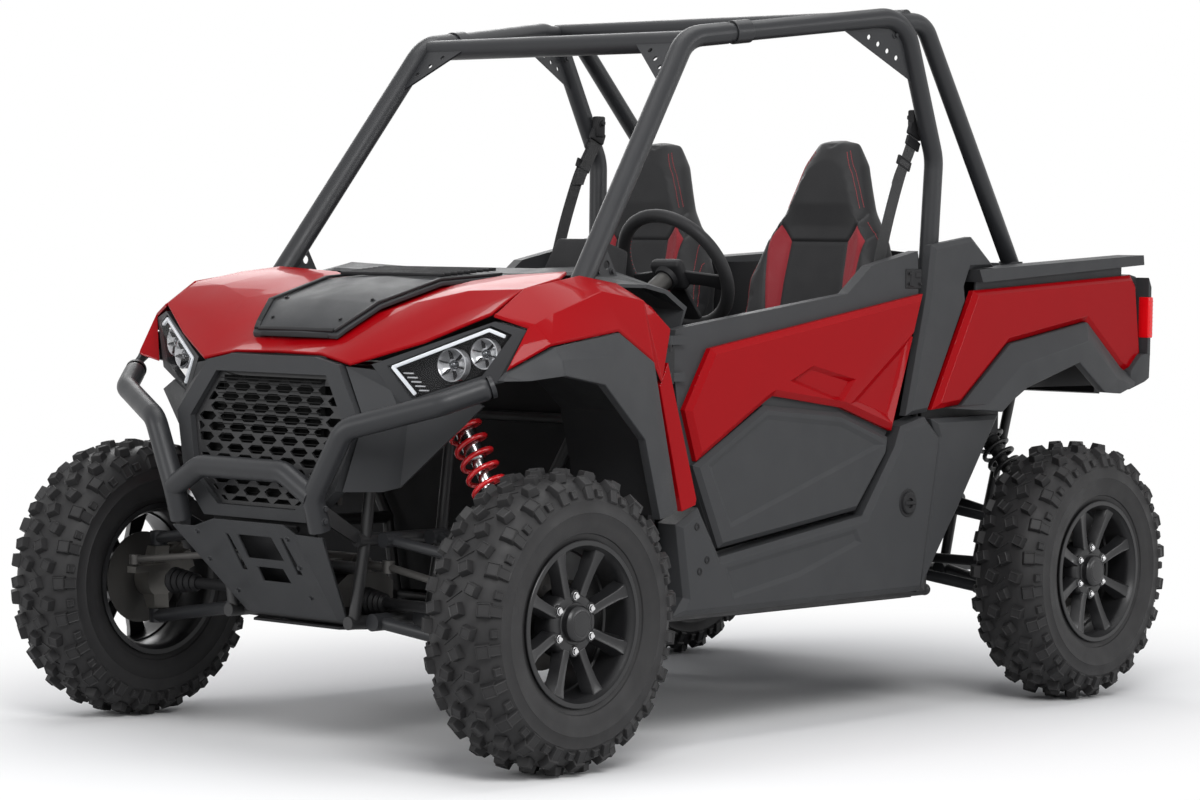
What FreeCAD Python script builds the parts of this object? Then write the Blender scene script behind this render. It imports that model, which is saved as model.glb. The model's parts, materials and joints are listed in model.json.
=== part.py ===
"""Two seat side by side utility vehicle, modelled as its real pieces.

The vehicle faces -Y, its left side is +X and +Z is up. Lengths are millimetres.
While it is modelled, y is a station measured rearwards from the front axle, and z
is the height over the ground. save() moves every piece by ORIGIN_SHIFT, so that the
stored origin lies on the ground under the middle of the overall length.
"""
import FreeCAD
import Part
import math
import os

Vec = FreeCAD.Vector

# ---- driving sizes -------------------------------------------------------------
WHEELBASE = 2145.0
HALF_TRACK = 731.0
TYRE_R = 356.0            # to the tips of the lugs
TYRE_W = 230.0
LUG_H = 16.0
LUG_PITCHES = 22
RIM_R = 195.0             # outer lip of the rim
BARREL_R = 172.0          # inside of the rim barrel
BEAD_IN = 14.2            # the tyre's bead sits this far inside the lip
HUB_R = 60.0
SPINDLE_R = 20.0
RUN_CLEAR = 0.05          # radial clearance of every pin and shaft in its bore
SEAT_GAP = 0.3            # between a piece and what it stands on or is fastened to
KINGPIN_IN = 91.0         # from the wheel's middle plane to the kingpin axis
STEER_X = HALF_TRACK - KINGPIN_IN
STEER_LOCK = 28.0         # degrees each way
STUD_R = 9.0
REAR_OVERHANG = 473.0     # from the rear axle to the tail lamps' outer face
TAIL_Y = WHEELBASE + REAR_OVERHANG
ORIGIN_SHIFT = (TYRE_R - TAIL_Y) / 2

CAGE_R = 25.4
FRONT_TUBE_R = 28.0       # front legs of the cage and the tube between them
REAR_TUBE_R = 24.4        # rear legs of the cage
COLLAR_R = 34.0           # flange under a door hoop
CAGE_BEND = 110.0
BUMPER_R = 27.0
FRAME_R = 16.0            # main rails
SILL_R = 15.0
POST_R = 14.5             # uprights of the frame
WELD = 1.2                # how far a weld bead stands out of its tubes
CROSS_R = 13.0            # cross tubes of the frame
AXLE_DROP = 60.0          # belly pan below the axles
PAN_Z = TYRE_R - AXLE_DROP
PAN_T = 6.0
RAIL_Z = PAN_Z + PAN_T + FRAME_R
RAIL_X = 210.0
SILL_X = 590.0
FLOOR_Z = RAIL_Z + FRAME_R + SEAT_GAP
CABIN_FRONT = 470.0
TUB_HALF = 568.0
TUB_T = 5.0

SKIN_X = 660.0            # outer face of doors and sides
DOOR_IN = 606.0
HINGE = (646.0, 503.0)    # door hinge axis
DOOR_SWING = 65.0
SEAT_X = 318.0
WHEEL_R = 180.0           # steering wheel
WHEEL_RING_R = 18.0
WHEEL_AT = (320.0, 914.0, 1172.0)
WHEEL_TILT = 31.0         # degrees from upright
WHEEL_LOCK = 270.0        # degrees each way
STEER_ARM = 112.0         # from the kingpin to the tie rod's end
BED_FLOOR = 862.0
BED_FRONT = 1800.0
BED_REAR = TAIL_Y - 58
BED_T = 6.0
TAILGATE_PIN = (TAIL_Y - 38, 852.0)
RACK_Y, RACK_Z = -60.0, TYRE_R + 96
ROD_END = 256.0           # where the tie rods are pinned to the rack
PIN_R = 15.0              # the eyes at both ends of a tie rod
SHOCK_DY = 40.0           # how far behind the axle the shocks stand
SEAT_BOX_Z = 600.0 - SEAT_GAP
CAGE_FOOT_Z = 1092.0
CAGE_FRONT_Z = 1146.0


# ---- helpers -------------------------------------------------------------------
def vec(p):
    return Vec(*p)


def wire(points):
    pts = [vec(p) for p in points]
    return Part.makePolygon(pts + [pts[0]])


def face(points):
    return Part.Face(wire(points))


def slab_x(outline, x0, x1):
    """Outline of (y, z) points, carried from x0 to x1."""
    return face([(x0, y, z) for y, z in outline]).extrude(Vec(x1 - x0, 0, 0))


def slab_y(outline, y0, y1):
    """Outline of (x, z) points, carried from y0 to y1."""
    return face([(x, y0, z) for x, z in outline]).extrude(Vec(0, y1 - y0, 0))


def slab_z(outline, z0, z1):
    """Outline of (x, y) points, carried from z0 to z1."""
    return face([(x, y, z0) for x, y in outline]).extrude(Vec(0, 0, z1 - z0))


def loft(*sections):
    """Ruled solid through polygons with equally many corners."""
    return Part.makeLoft([wire(s) for s in sections], True, True)


def facet(*corners):
    """Flat faces over three or four corners; four that aren't in a plane make two triangles."""
    p = corners[0]
    n = (corners[1] - p).cross(corners[2] - p)
    if len(corners) == 4 and abs(n.dot(corners[3] - p)) > 1e-3 * n.Length:
        return facet(corners[0], corners[1], corners[2]) + facet(corners[0], corners[2], corners[3])
    if len(corners) == 3 and n.Length < 1e-3:
        return []
    return [Part.Face(Part.makePolygon(list(corners) + [p]))]


def closed(faces):
    """Solid inside a closed set of faces."""
    shell = Part.makeShell(faces)
    shell.sewShape()
    solid = Part.Solid(shell)
    if solid.Volume < 0:
        solid.reverse()
    return solid


def strip(sections):
    """Solid through convex sections of equally many points, with flat facets between them."""
    rows = [[vec(p) for p in s] for s in sections]
    faces = []
    for r0, r1 in zip(rows, rows[1:]):
        for i, p in enumerate(r0):
            j = (i + 1) % len(r0)
            faces += facet(p, r0[j], r1[j]) + facet(p, r1[j], r1[i])
    for r in (rows[0], rows[-1]):
        for i in range(1, len(r) - 1):
            faces += facet(r[0], r[i], r[i + 1])
    return closed(faces).removeSplitter()


def skin(rows, push):
    """Thin panel: a grid of points on its outer face, thickened by the vector push."""
    outer = [[vec(p) for p in row] for row in rows]
    inner = [[p + vec(push) for p in row] for row in outer]
    faces, rims = [], []
    for grid in (outer, inner):
        for r0, r1 in zip(grid, grid[1:]):
            for j in range(len(r0) - 1):
                faces += facet(r0[j], r0[j + 1], r1[j + 1], r1[j])
        rims.append(grid[0][:-1] + [r[-1] for r in grid[:-1]] + grid[-1][:0:-1] + [r[0] for r in grid[:0:-1]])
    for k, p in enumerate(rims[0]):
        n = (k + 1) % len(rims[0])
        faces += facet(p, rims[0][n], rims[1][n], rims[1][k])
    return closed(faces)


def across(row):
    """A row from the middle to the left side, completed to the right side."""
    return [(-x, y, z) for x, y, z in reversed(row) if x > 0] + list(row)


def aft(points):
    """Points whose first number is measured rearwards from the rear axle."""
    return [(WHEELBASE + p[0],) + tuple(p[1:]) for p in points]


def inset(outline, d):
    """The outline moved inwards by d, with mitred corners."""
    area = sum(a[0] * b[1] - b[0] * a[1] for a, b in zip(outline, outline[1:] + outline[:1]))
    turn = 1 if area > 0 else -1
    out = []
    for a, p, b in zip(outline[-1:] + outline[:-1], outline, outline[1:] + outline[:1]):
        u = Vec(p[0] - a[0], p[1] - a[1], 0).normalize()
        w = Vec(b[0] - p[0], b[1] - p[1], 0).normalize()
        nu, nw = Vec(-u.y, u.x, 0) * turn, Vec(-w.y, w.x, 0) * turn
        m = nu + nw
        k = d / max(0.35, (1 + nu.dot(nw)))
        out.append((p[0] + m.x * k, p[1] + m.y * k))
    return out


def raised(outline, x0, x1, bevel):
    """A panel on the side of the body: a slab from x0 whose outer edge is bevelled to x1."""
    step = -bevel if x0 > x1 else bevel
    top = inset(outline, bevel * 1.3)
    base = slab_x(outline, x0, x1 - step)
    cap = loft([(x1 - step, y, z) for y, z in outline], [(x1, y, z) for y, z in top])
    return base.fuse(cap).removeSplitter()


def mirror(shape):
    return shape.mirror(Vec(0, 0, 0), Vec(1, 0, 0))


def both(shape):
    return [shape, mirror(shape)]


def rod(a, b, r):
    d = vec(b) - vec(a)
    return Part.makeCylinder(r, d.Length, vec(a), d)


def truss(points, r):
    """Straight tubes end to end, with a round weld bead at each inner joint."""
    pieces = [rod(a, b, r) for a, b in zip(points, points[1:])]
    pieces += [Part.makeSphere(r + WELD, vec(p)) for p in points[1:-1]]
    return fuse(pieces)


def fuse(shapes):
    shapes = list(shapes)
    if len(shapes) == 1:
        return shapes[0]
    whole = shapes[0].multiFuse(shapes[1:])
    tidy = whole.copy().removeSplitter()
    return tidy if tidy.isValid() else whole


def bent_tube(points, r, bend):
    """A round tube along a polyline whose corners are arcs of radius bend."""
    pts = [vec(p) for p in points]
    edges, start = [], pts[0]
    for a, p, b in zip(pts, pts[1:], pts[2:]):
        u, w = (a - p).normalize(), (b - p).normalize()
        half = u.getAngle(w) / 2
        cut = min(bend / math.tan(half), 0.48 * (a - p).Length, 0.48 * (b - p).Length)
        p1, p2 = p + u * cut, p + w * cut
        middle = p + (u + w).normalize() * (cut / math.cos(half) - cut * math.tan(half))
        edges.append(Part.LineSegment(start, p1).toShape())
        edges.append(Part.Arc(p1, middle, p2).toShape())
        start = p2
    edges.append(Part.LineSegment(start, pts[-1]).toShape())
    path = Part.Wire(edges)
    ring = Part.Wire([Part.makeCircle(r, pts[0], pts[1] - pts[0])])
    return path.makePipe(Part.Face(ring))


def turned(profile, axis_x=True):
    """Solid of revolution about X of (x, radius) points."""
    w = wire([(x, 0, r) for x, r in profile])
    return Part.Face(w).revolve(Vec(0, 0, 0), Vec(1, 0, 0), 360)


NODES = {}


def put(name, *shapes):
    flat = []
    for s in shapes:
        flat += s if isinstance(s, list) else [s]
    NODES.setdefault(name, []).extend(flat)


# ---- wheels --------------------------------------------------------------------
def tyre():
    """Tyre as one faceted shell: each side has a lug on every second flat, staggered left to right."""
    half = TYRE_W / 2
    base = TYRE_R - LUG_H
    # x, radius of the carcass, then x, radius of a lug's tip where the lug reaches
    bead = (RIM_R - BEAD_IN + SEAT_GAP) / math.cos(math.pi / (2 * LUG_PITCHES))
    side = [(half - 28, bead, None), (half - 8, base - 72, None),
            (half - 18, base - 26, (half - 4, TYRE_R - 32)), (half - 58, base, (half - 56, TYRE_R - 3)),
            (9, base, (11, TYRE_R))]
    flats = 2 * LUG_PITCHES
    step = 2 * math.pi / flats
    taper = 0.12                      # share of a flat that each side of a lug slopes over
    out = 1 / math.cos((0.5 - taper) * step)   # corner of a lug's tip, over the middle of its flat
    faces = []

    def at(x, r, turn):
        return Vec(x, r * math.sin(turn), -r * math.cos(turn))

    for i in range(flats):
        for s in (-1, 1):
            a0, a1 = (i - 0.5) * step, (i + 0.5) * step
            has_lug = (i % 2 == 0) == (s > 0)
            foot = [(at(s * x, r, a0), at(s * x, r, a1)) for x, r, tip in side]
            tips = [(at(s * tip[0], tip[1] * out, a0 + taper * step), at(s * tip[0], tip[1] * out, a1 - taper * step))
                    for x, r, tip in side if tip]
            for k, (low, high) in enumerate(zip(foot, foot[1:])):
                if has_lug and k >= 2:
                    t0, t1 = tips[k - 2], tips[k - 1]
                    faces += facet(t0[0], t1[0], t1[1], t0[1])
                    faces += facet(low[0], high[0], t1[0], t0[0])
                    faces += facet(low[1], high[1], t1[1], t0[1])
                else:
                    faces += facet(low[0], high[0], high[1], low[1])
            if has_lug:
                faces += facet(foot[2][0], foot[2][1], tips[0][1], tips[0][0])
                faces += facet(foot[4][0], foot[4][1], tips[2][1], tips[2][0])
        for x, r in (side[0][:2], side[-1][:2]):
            faces += facet(at(-x, r, a0), at(x, r, a0), at(x, r, a1), at(-x, r, a1))
    return closed(faces)


def rim():
    """Eight spoke alloy rim with its hub bore, nuts, cap and brake disc. +X is outwards."""
    half = TYRE_W / 2
    lip, back = half - 14, 14 - half
    barrel = turned([(lip, RIM_R), (lip, RIM_R - 12), (lip - 18, BARREL_R), (back, BARREL_R),
                     (back, RIM_R), (back + 12, RIM_R - BEAD_IN), (lip - 12, RIM_R - BEAD_IN)])
    hub = turned([(20, SPINDLE_R + RUN_CLEAR), (20, HUB_R + 20), (62, HUB_R + 18),
                  (72, HUB_R), (72, SPINDLE_R + RUN_CLEAR)])
    cap = turned([(72, 0), (72, 43), (94, 36), (97, 0)])
    disc = turned([(-30, SPINDLE_R + RUN_CLEAR), (-30, 118), (-24, 118), (-24, 50),
                   (20, 50), (20, SPINDLE_R + RUN_CLEAR)])
    spoke_root, spoke_end = HUB_R + 10, BARREL_R + 3
    pieces = [barrel, hub, disc, cap]
    for i in range(8):
        spoke = loft([(34, -17, spoke_root), (70, -13, spoke_root), (70, 13, spoke_root), (34, 17, spoke_root)],
                     [(60, -22, spoke_end), (88, -13, spoke_end), (88, 13, spoke_end), (60, 22, spoke_end)])
        spoke.rotate(Vec(0, 0, 0), Vec(1, 0, 0), 45 * i + 22.5)
        pieces.append(spoke)
    for i in range(6):
        nut = Part.makeCylinder(9, 12, Vec(71, 0, 64), Vec(1, 0, 0))
        nut.rotate(Vec(0, 0, 0), Vec(1, 0, 0), 60 * i)
        pieces.append(nut)
    return fuse(pieces)


def wheels():
    a_tyre, a_rim = tyre(), rim()
    for name, side, y in [("front_left", 1, 0), ("front_right", -1, 0),
                          ("rear_left", 1, WHEELBASE), ("rear_right", -1, WHEELBASE)]:
        for part, shape in (("tyre", a_tyre), ("rim", a_rim)):
            s = shape.copy() if side > 0 else mirror(shape)
            s.translate(Vec(side * HALF_TRACK, y, TYRE_R))
            put(f"{part}_{name}", s)


# ---- suspension ----------------------------------------------------------------
UPPER_Z, LOWER_Z = TYRE_R + 105, TYRE_R - 95
EYE_T = 36.0


def knuckle():
    """Upright with its spindle, bored top and bottom for the kingpin studs."""
    x = STEER_X
    top, bottom = UPPER_Z - EYE_T / 2, LOWER_Z + EYE_T / 2
    body = slab_y([(x - 16, bottom + 2), (x + 16, bottom + 2), (x + 30, TYRE_R - 40), (x + 30, TYRE_R + 40),
                   (x + 16, top - 2), (x - 16, top - 2), (x - 12, TYRE_R + 40), (x - 12, TYRE_R - 40)], -24, 24)
    boss = turned([(x - 12, 0), (x - 12, 46), (x + 40, 46), (x + 44, 30), (x + 44, SPINDLE_R),
                   (HALF_TRACK + 70, SPINDLE_R), (HALF_TRACK + 70, 0)])
    boss.translate(Vec(0, 0, TYRE_R))
    body = fuse([body, boss])
    inner, outer = HALF_TRACK - 54, HALF_TRACK - 8
    caliper = slab_x([(-34, 92), (34, 92), (42, 136), (-42, 136)], inner, outer)
    caliper = caliper.cut(slab_x([(-60, 60), (60, 60), (60, 124), (-60, 124)], HALF_TRACK - 37, HALF_TRACK - 17))
    lug = slab_x([(-24, 30), (24, 30), (24, 128), (-24, 128)], x + 12, x + 28)
    bridge = slab_x([(-24, 124), (24, 124), (24, 136), (-24, 136)], x + 12, inner + 4)
    caliper = fuse([caliper, lug, bridge])
    caliper.rotate(Vec(0, 0, 0), Vec(1, 0, 0), -70)
    caliper.translate(Vec(0, 0, TYRE_R))
    bore = rod((x, 0, bottom), (x, 0, bottom + 24), STUD_R + RUN_CLEAR)
    bore2 = rod((x, 0, top - 24), (x, 0, top), STUD_R + RUN_CLEAR)
    return fuse([body.cut(bore).cut(bore2), caliper])


def steered_knuckle():
    """A front knuckle: the upright with the arm that its tie rod turns it by."""
    x = STEER_X
    arm = slab_z([(x - 26, 20), (x - 4, 20), (x - 22, -STEER_ARM - 12), (x - 54, -STEER_ARM - 12)],
                 TYRE_R + 24, TYRE_R + 40)
    return fuse([knuckle(), arm])


def arm(y, z, pivot_y, pivot_x, spread, r, outer_z, studs):
    """One A arm: two tubes from the frame to an eye under or over the knuckle."""
    eye = (STEER_X, y, outer_z)
    tubes = [rod((pivot_x, pivot_y + s * spread, z), (STEER_X - 10, y + s * 6, outer_z), r) for s in (-1, 1)]
    bushes = [rod((pivot_x, pivot_y + s * spread - 26, z), (pivot_x, pivot_y + s * spread + 26, z), r + 5)
              for s in (-1, 1)]
    ball = Part.makeCylinder(22, EYE_T, Vec(eye[0], eye[1], outer_z - EYE_T / 2))
    pieces = tubes + bushes + [ball]
    if studs > 0:
        pieces.append(rod((eye[0], y, outer_z), (eye[0], y, outer_z + EYE_T / 2 + 20), STUD_R))
    if studs < 0:
        pieces.append(rod((eye[0], y, outer_z), (eye[0], y, outer_z - EYE_T / 2 - 20), STUD_R))
    return fuse(pieces)


def suspension():
    for y, name in ((0, "front"), (WHEELBASE, "rear")):
        lower = arm(y, RAIL_Z + 2, y, RAIL_X + FRAME_R + 21.3, 80, 16, LOWER_Z, 1)
        upper = arm(y, UPPER_PIVOT_Z, y, ARM_X + FRAME_R + 18.3, 80, 13, UPPER_Z, -1)
        seat = Part.makeBox(32, 40, 43, Vec(540, y + SHOCK_DY - 20, 480.7))
        upper = fuse([upper, seat])
        put("suspension_arms", both(lower), both(upper))
    rear = knuckle()
    rear.translate(Vec(0, WHEELBASE, 0))
    put("rear_knuckles", both(rear))
    put("knuckle_left", steered_knuckle())
    put("knuckle_right", mirror(steered_knuckle()))


# ---- frame and floor -----------------------------------------------------------
TOWER_Z = 925.0
UPPER_PIVOT_Z = 520.0
POST_X, POST_Y = 590.0, 1640.0
ARM_X, TOWER_X = 246.0, 292.0     # tubes that carry the upper arms, and the tops of the towers


CAGE_FRONT = (527.0, 317.0, CAGE_FRONT_Z)
A_TOP = (460.0, 773.0, 1761.0)


def leg_axis(d):
    """Point on the axis of the cage's front leg, d above the height of the hood."""
    q = vec(CAGE_FRONT) + (vec(A_TOP) - vec(CAGE_FRONT)).normalize() * d
    return (q.x, q.y, q.z)


REAR_TOP_Z = BED_FLOOR - BED_T - SEAT_GAP - FRAME_R      # rear tubes that carry the bed


def floor_frame(grow=0.0):
    """Rails, sills, the posts under the cage and the cross tubes between them."""
    r, low = FRAME_R + grow, RAIL_Z
    tubes = []
    for s in (-1, 1):
        rail, sill = s * RAIL_X, s * SILL_X
        tubes.append(rod((rail, -150, low), (rail, TAIL_Y - 158, low), r))
        tubes.append(truss([(rail, 470, low), (sill, 520, low), (sill, POST_Y + 20, low), (rail, POST_Y + 90, low)], SILL_R + grow))
        tubes.append(rod((s * POST_X, POST_Y, low), (s * POST_X, POST_Y, CAGE_FOOT_Z - SEAT_GAP), r))
    for y, x in [(-98.7, RAIL_X), (130, RAIL_X), (440, RAIL_X), (1040, SILL_X), (1680, RAIL_X),
                 (WHEELBASE - 130, RAIL_X), (TAIL_Y - 178, RAIL_X)]:
        tubes.append(rod((-x, y, low), (x, y, low), CROSS_R + grow))
    return fuse(tubes)


def tower(y0, top):
    """The tubes over one axle: four uprights, the arms' tubes, the upper tubes and the shocks' cross tube."""
    tubes = []
    for s in (-1, 1):
        for dy in (-130, 130):
            tubes.append(truss([(s * RAIL_X, y0 + dy, RAIL_Z), (s * ARM_X, y0 + dy, UPPER_PIVOT_Z),
                                (s * TOWER_X, y0 + dy, top)], POST_R))
        tubes.append(rod((s * ARM_X, y0 - 160, UPPER_PIVOT_Z), (s * ARM_X, y0 + 160, UPPER_PIVOT_Z), FRAME_R))
        tubes.append(rod((s * TOWER_X, y0 - 130, top), (s * TOWER_X, y0 + 130, top), FRAME_R))
    tubes.append(rod((-372, y0 + SHOCK_DY, top), (372, y0 + SHOCK_DY, top), FRAME_R))
    return tubes


def frame():
    room = floor_frame(SEAT_GAP)
    front = tower(0, TOWER_Z)
    rear = tower(WHEELBASE, REAR_TOP_Z)
    for s in (-1, 1):
        front.append(rod((s * ARM_X, 160, UPPER_PIVOT_Z), (s * ARM_X, 440, UPPER_PIVOT_Z), FRAME_R))
        front.append(truss([(s * RAIL_X, 440, RAIL_Z), (s * ARM_X, 440, UPPER_PIVOT_Z), (s * 420, 440, 800)]
                           + [(s * x, y, z) for x, y, z in (leg_axis(-110), leg_axis(-50.0 - SEAT_GAP))], POST_R))
        front.append(slab_x([(-140, 504), (-140, 536), (BUMPER_R - 294.9, 610), (BUMPER_R - 279.8, 560)], s * 243 - 4, s * 243 + 4))
        rear.append(rod((s * ARM_X, 1680, UPPER_PIVOT_Z), (s * ARM_X, WHEELBASE - 160, UPPER_PIVOT_Z), FRAME_R))
        rear.append(rod((s * RAIL_X, 1680, RAIL_Z), (s * ARM_X, 1690, UPPER_PIVOT_Z), POST_R))
        rear.append(rod((s * TOWER_X, WHEELBASE + 130, REAR_TOP_Z), (s * TOWER_X, TAIL_Y - 118, REAR_TOP_Z), FRAME_R))
        rear.append(rod((s * RAIL_X, TAIL_Y - 178, RAIL_Z), (s * TOWER_X, TAIL_Y - 128, REAR_TOP_Z), POST_R))
        rear.append(rod((s * ARM_X, 1690, UPPER_PIVOT_Z), (s * POST_X, POST_Y, 700), POST_R))
    for y, x, z in [(-130, 233, RACK_Z), (-130, TOWER_X, TOWER_Z), (130, TOWER_X, TOWER_Z), (440, 420, 800)]:
        front.append(rod((-x, y, z), (x, y, z), CROSS_R))
    for y, x, z in [(TAIL_Y - 128, TOWER_X, REAR_TOP_Z), (WHEELBASE + 130, TOWER_X, REAR_TOP_Z),
                    (1680, ARM_X, UPPER_PIVOT_Z)]:
        rear.append(rod((-x, y, z), (x, y, z), CROSS_R))
    put("frame", floor_frame())
    put("front_frame", fuse(front).cut(room))
    put("rear_frame", fuse(rear).cut(room))
    nose = [(150, -120), (190, -60), (190, 430), (560, 540), (560, POST_Y), (190, POST_Y + 120),
            (190, TAIL_Y - 198)]
    put("belly_pan", slab_z(sym(nose), PAN_Z, PAN_Z + PAN_T))


def floor_tub():
    t = TUB_T
    h = TUB_HALF
    z = FLOOR_Z
    floor = slab_z([(-h, CABIN_FRONT), (h, CABIN_FRONT), (h, 1615), (-h, 1615)], z, z + t)
    fire = slab_y([(-h, z), (h, z), (h, 780), (400, 985), (-400, 985), (-h, 780)], CABIN_FRONT, CABIN_FRONT + t)
    rear = slab_y([(-h, z), (h, z), (h, 700), (-h, 700)], 1610, 1615)
    sides = [slab_x([(CABIN_FRONT, z), (1615, z), (1615, 560), (1300, 500), (620, 440), (CABIN_FRONT, 620)],
                    s * h - (t if s > 0 else 0), s * h + (0 if s > 0 else t)) for s in (-1, 1)]
    top = SEAT_BOX_Z
    seat_box = slab_x([(985, z + t), (1000, top), (1545, top), (1600, z + t)], -540, 540)
    seat_box = seat_box.cut(slab_x([(990, z), (1005, top - t), (1540, top - t), (1594, z)], -535, 535))
    console = slab_x([(700, z + t), (760, 560), (1140, 585), (1140, z + t)], -80, 80)
    console = console.cut(slab_x([(706, z), (764, 555), (1136, 579), (1136, z)], -75, 75))
    put("floor_tub", fuse([floor, fire, rear, seat_box, console] + sides))


# ---- roll cage -----------------------------------------------------------------
B_TOP = (622.0, 1474.0, 1852.0)
B_MID = (601.0, 1650.0, 1480.0)
CAGE_FOOT = (590.0, 1640.0, CAGE_FOOT_Z + 3)
REAR_FOOT = (541.0, 2107.0, 1200.0)
SHOE_H = 20.0             # below the end of a rear leg


def gusset(corner, first, second, a, b, holes):
    """Triangular plate in the corner of two tubes, with a row of round holes along its free edge."""
    c = vec(corner)
    u, w = (vec(first) - c).normalize(), (vec(second) - c).normalize()
    normal = u.cross(w).normalize()
    low = c - normal * (GUSSET_T / 2)
    plate = Part.Face(Part.makePolygon([low, low + u * a, low + w * b, low])).extrude(normal * GUSSET_T)
    for i in range(holes):
        k = 0.24 + 0.32 * i / (holes - 1)
        plate = plate.cut(Part.makeCylinder(7, 30, c + u * (a * k) + w * (b * (0.8 - k)) - normal * 15, normal))
    return plate


GUSSET_T = 5.0
FOOT_PLATE = [(345, 1154), (398, 1232), (444, 1156)]      # y, z of the plate behind a front leg's foot


def cage():
    r = CAGE_R
    joint = tuple(a + (b - a) * 0.18 for a, b in zip(A_TOP, B_TOP))
    start = tuple(a + (b - a) * 0.86 for a, b in zip(A_TOP, B_TOP))
    pieces = []
    for s in (-1, 1):
        def side(p):
            return (s * p[0], p[1], p[2])
        front = bent_tube([side(p) for p in (leg_axis(-50), A_TOP, joint)], FRONT_TUBE_R, CAGE_BEND)
        hoop = bent_tube([side(p) for p in (joint, B_TOP, B_MID, CAGE_FOOT)], r, CAGE_BEND)
        leg = bent_tube([side(start), side((619, 1566, 1838)), side(REAR_FOOT)], REAR_TUBE_R, CAGE_BEND * 0.8)
        collar = Part.makeCylinder(COLLAR_R, 10, Vec(s * CAGE_FOOT[0], CAGE_FOOT[1], CAGE_FOOT_Z))
        shoe = Part.makeCylinder(33, 8 + SHOE_H, Vec(s * REAR_FOOT[0], REAR_FOOT[1], REAR_FOOT[2] - SHOE_H))
        plate = slab_x(FOOT_PLATE, s * CAGE_FRONT[0] - GUSSET_T / 2, s * CAGE_FRONT[0] + GUSSET_T / 2)
        plate = plate.cut(rod((s * 500, 404, 1184), (s * 560, 404, 1184), 11))
        pieces += [front, hoop, leg, collar, shoe, plate,
                   gusset(side(A_TOP), (0, A_TOP[1], A_TOP[2]), side(leg_axis(0)), 176, 176, 3),
                   gusset(side(B_TOP), side(A_TOP), side(B_MID), 240, 205, 4)]
    for p, dz, radius in ((A_TOP, -10, FRONT_TUBE_R - 1), (B_TOP, -8, r)):
        pieces.append(rod((-p[0], p[1] + 12, p[2] + dz), (p[0], p[1] + 12, p[2] + dz), radius))
    put("roll_cage", fuse(pieces))


# ---- body panels ---------------------------------------------------------------
HOOD_ROWS = [
    [(0, -197, 966), (147, -193, 963), (255, -201, 943), (420, -122, 999), (567, -45, 1069)],
    [(0, -150, 980), (150, -140, 988), (266, -140, 1000), (425, -58, 1048), (568.5, 6, 1098)],
    [(0, -39, 1045), (197, -39, 1060), (300, -20, 1088), (430, 20, 1118), (570, 57, 1124)],
    [(0, 163, 1112), (207, 163, 1120), (300, 170, 1140), (420, 190, 1152), (558, 200, 1151)],
    [(0, 290, 1128), (207, 300, 1130), (300, 300, 1156), (420, 300, 1162), (500, 290, 1167)],
]
COVER_ROWS = [
    [(0, -138, 1012), (147, -138, 1006)],
    [(0, -120, 1032), (160, -118, 1024)],
    [(0, -39, 1092), (197, -39, 1080)],
    [(0, 163, 1146), (207, 163, 1137)],
    [(0, 394, 1165), (230, 394, 1155)],
]
FENDER_ROWS = [
    [(575, -43, 1066), (576, -34, 1070), (575.5, 57, 1126), (559.5, 270, 1158), (565, 400, 1140), (636, 450, 1085)],
    [(651, -5, 1040), (660, 7, 1043.5), (660, 70, 1068), (668, 232, 1122), (672, 378, 1100), (676, 477, 1031)],
    [(606, -36, 925), (645, -68, 942), (700, 20, 999.5), (703, 256, 1032.6), (700, 386, 960.9), (684, 440, 906)],
]
RED_STRIP = [(436, 892), (466, 950), (582, 613), (579, 598), (526, 584)]
FLARE_TOP_X, FLARE_EDGE_X = 704.0, 738.0
FRONT_ARCH = [  # y, z of the flare's upper edge, y, z of the arch's edge, how far the tip turns in
    (-70, 931, -92, 911, 55), (-40, 950, -40, 912, 35), (26, 990, 28, 925, 0), (256, 1024, 169, 902, 0),
    (386, 952, 317, 768, 0), (481, 593, 377, 574, 0)]


FLARE_DEPTH = 26.0
LINER_IN = 440.0


def flare(arch, x_top, x_edge, depth):
    """Plastic band over a wheel: a bevelled outer face that rolls in to the arch."""
    sections = []
    for yt, zt, ye, ze, turn in arch:
        ym, zm = yt + 0.45 * (ye - yt), zt + 0.45 * (ze - zt)
        xt, xe = x_top - turn, x_edge - 1.5 * turn
        sections.append([(xt, yt, zt), (xe - 8, ym, zm), (xe, ye, ze), (xe - depth, ye, ze), (xt - depth * 0.6, yt, zt)])
    return strip(sections)


def front_body():
    put("hood", skin([across(r) for r in HOOD_ROWS], (0, 5, -8)))
    put("hood_cover", skin([across(r) for r in COVER_ROWS], (0, 4, -12)))
    put("front_flares", both(flare(FRONT_ARCH, FLARE_TOP_X, FLARE_EDGE_X, FLARE_DEPTH)))
    put("front_fenders", both(skin(FENDER_ROWS, (-4, 0, -8))), both(slab_x(RED_STRIP, 664, 679.7)))
    seat = []                           # line on the inner face of the flare that the liner meets
    for yt, zt, ye, ze, _ in FRONT_ARCH[2:]:
        k = 0.36
        x = FLARE_EDGE_X - FLARE_DEPTH + k * (FLARE_TOP_X - FLARE_EDGE_X + 0.4 * FLARE_DEPTH) - 2
        seat.append((x, ye + k * (yt - ye), ze + k * (zt - ze)))
    put("arch_liners", both(skin([seat, [(LINER_IN, y, z) for x, y, z in seat]], (0, 5, 5))))


FASCIA_TOP = (-209.0, 960.0)      # y, z
FASCIA_LOW = (-261.0, 562.0)


def lean(x, z, back=0.0):
    """Point on the leaning plane of the front face."""
    k = (FASCIA_TOP[1] - z) / (FASCIA_TOP[1] - FASCIA_LOW[1])
    return (x, FASCIA_TOP[0] + k * (FASCIA_LOW[0] - FASCIA_TOP[0]) + back, z)


def front_plate(outline, back, depth):
    pts = [lean(x, z, back) for x, z in outline]
    return face(pts).extrude(Vec(0, depth, 0))


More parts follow.
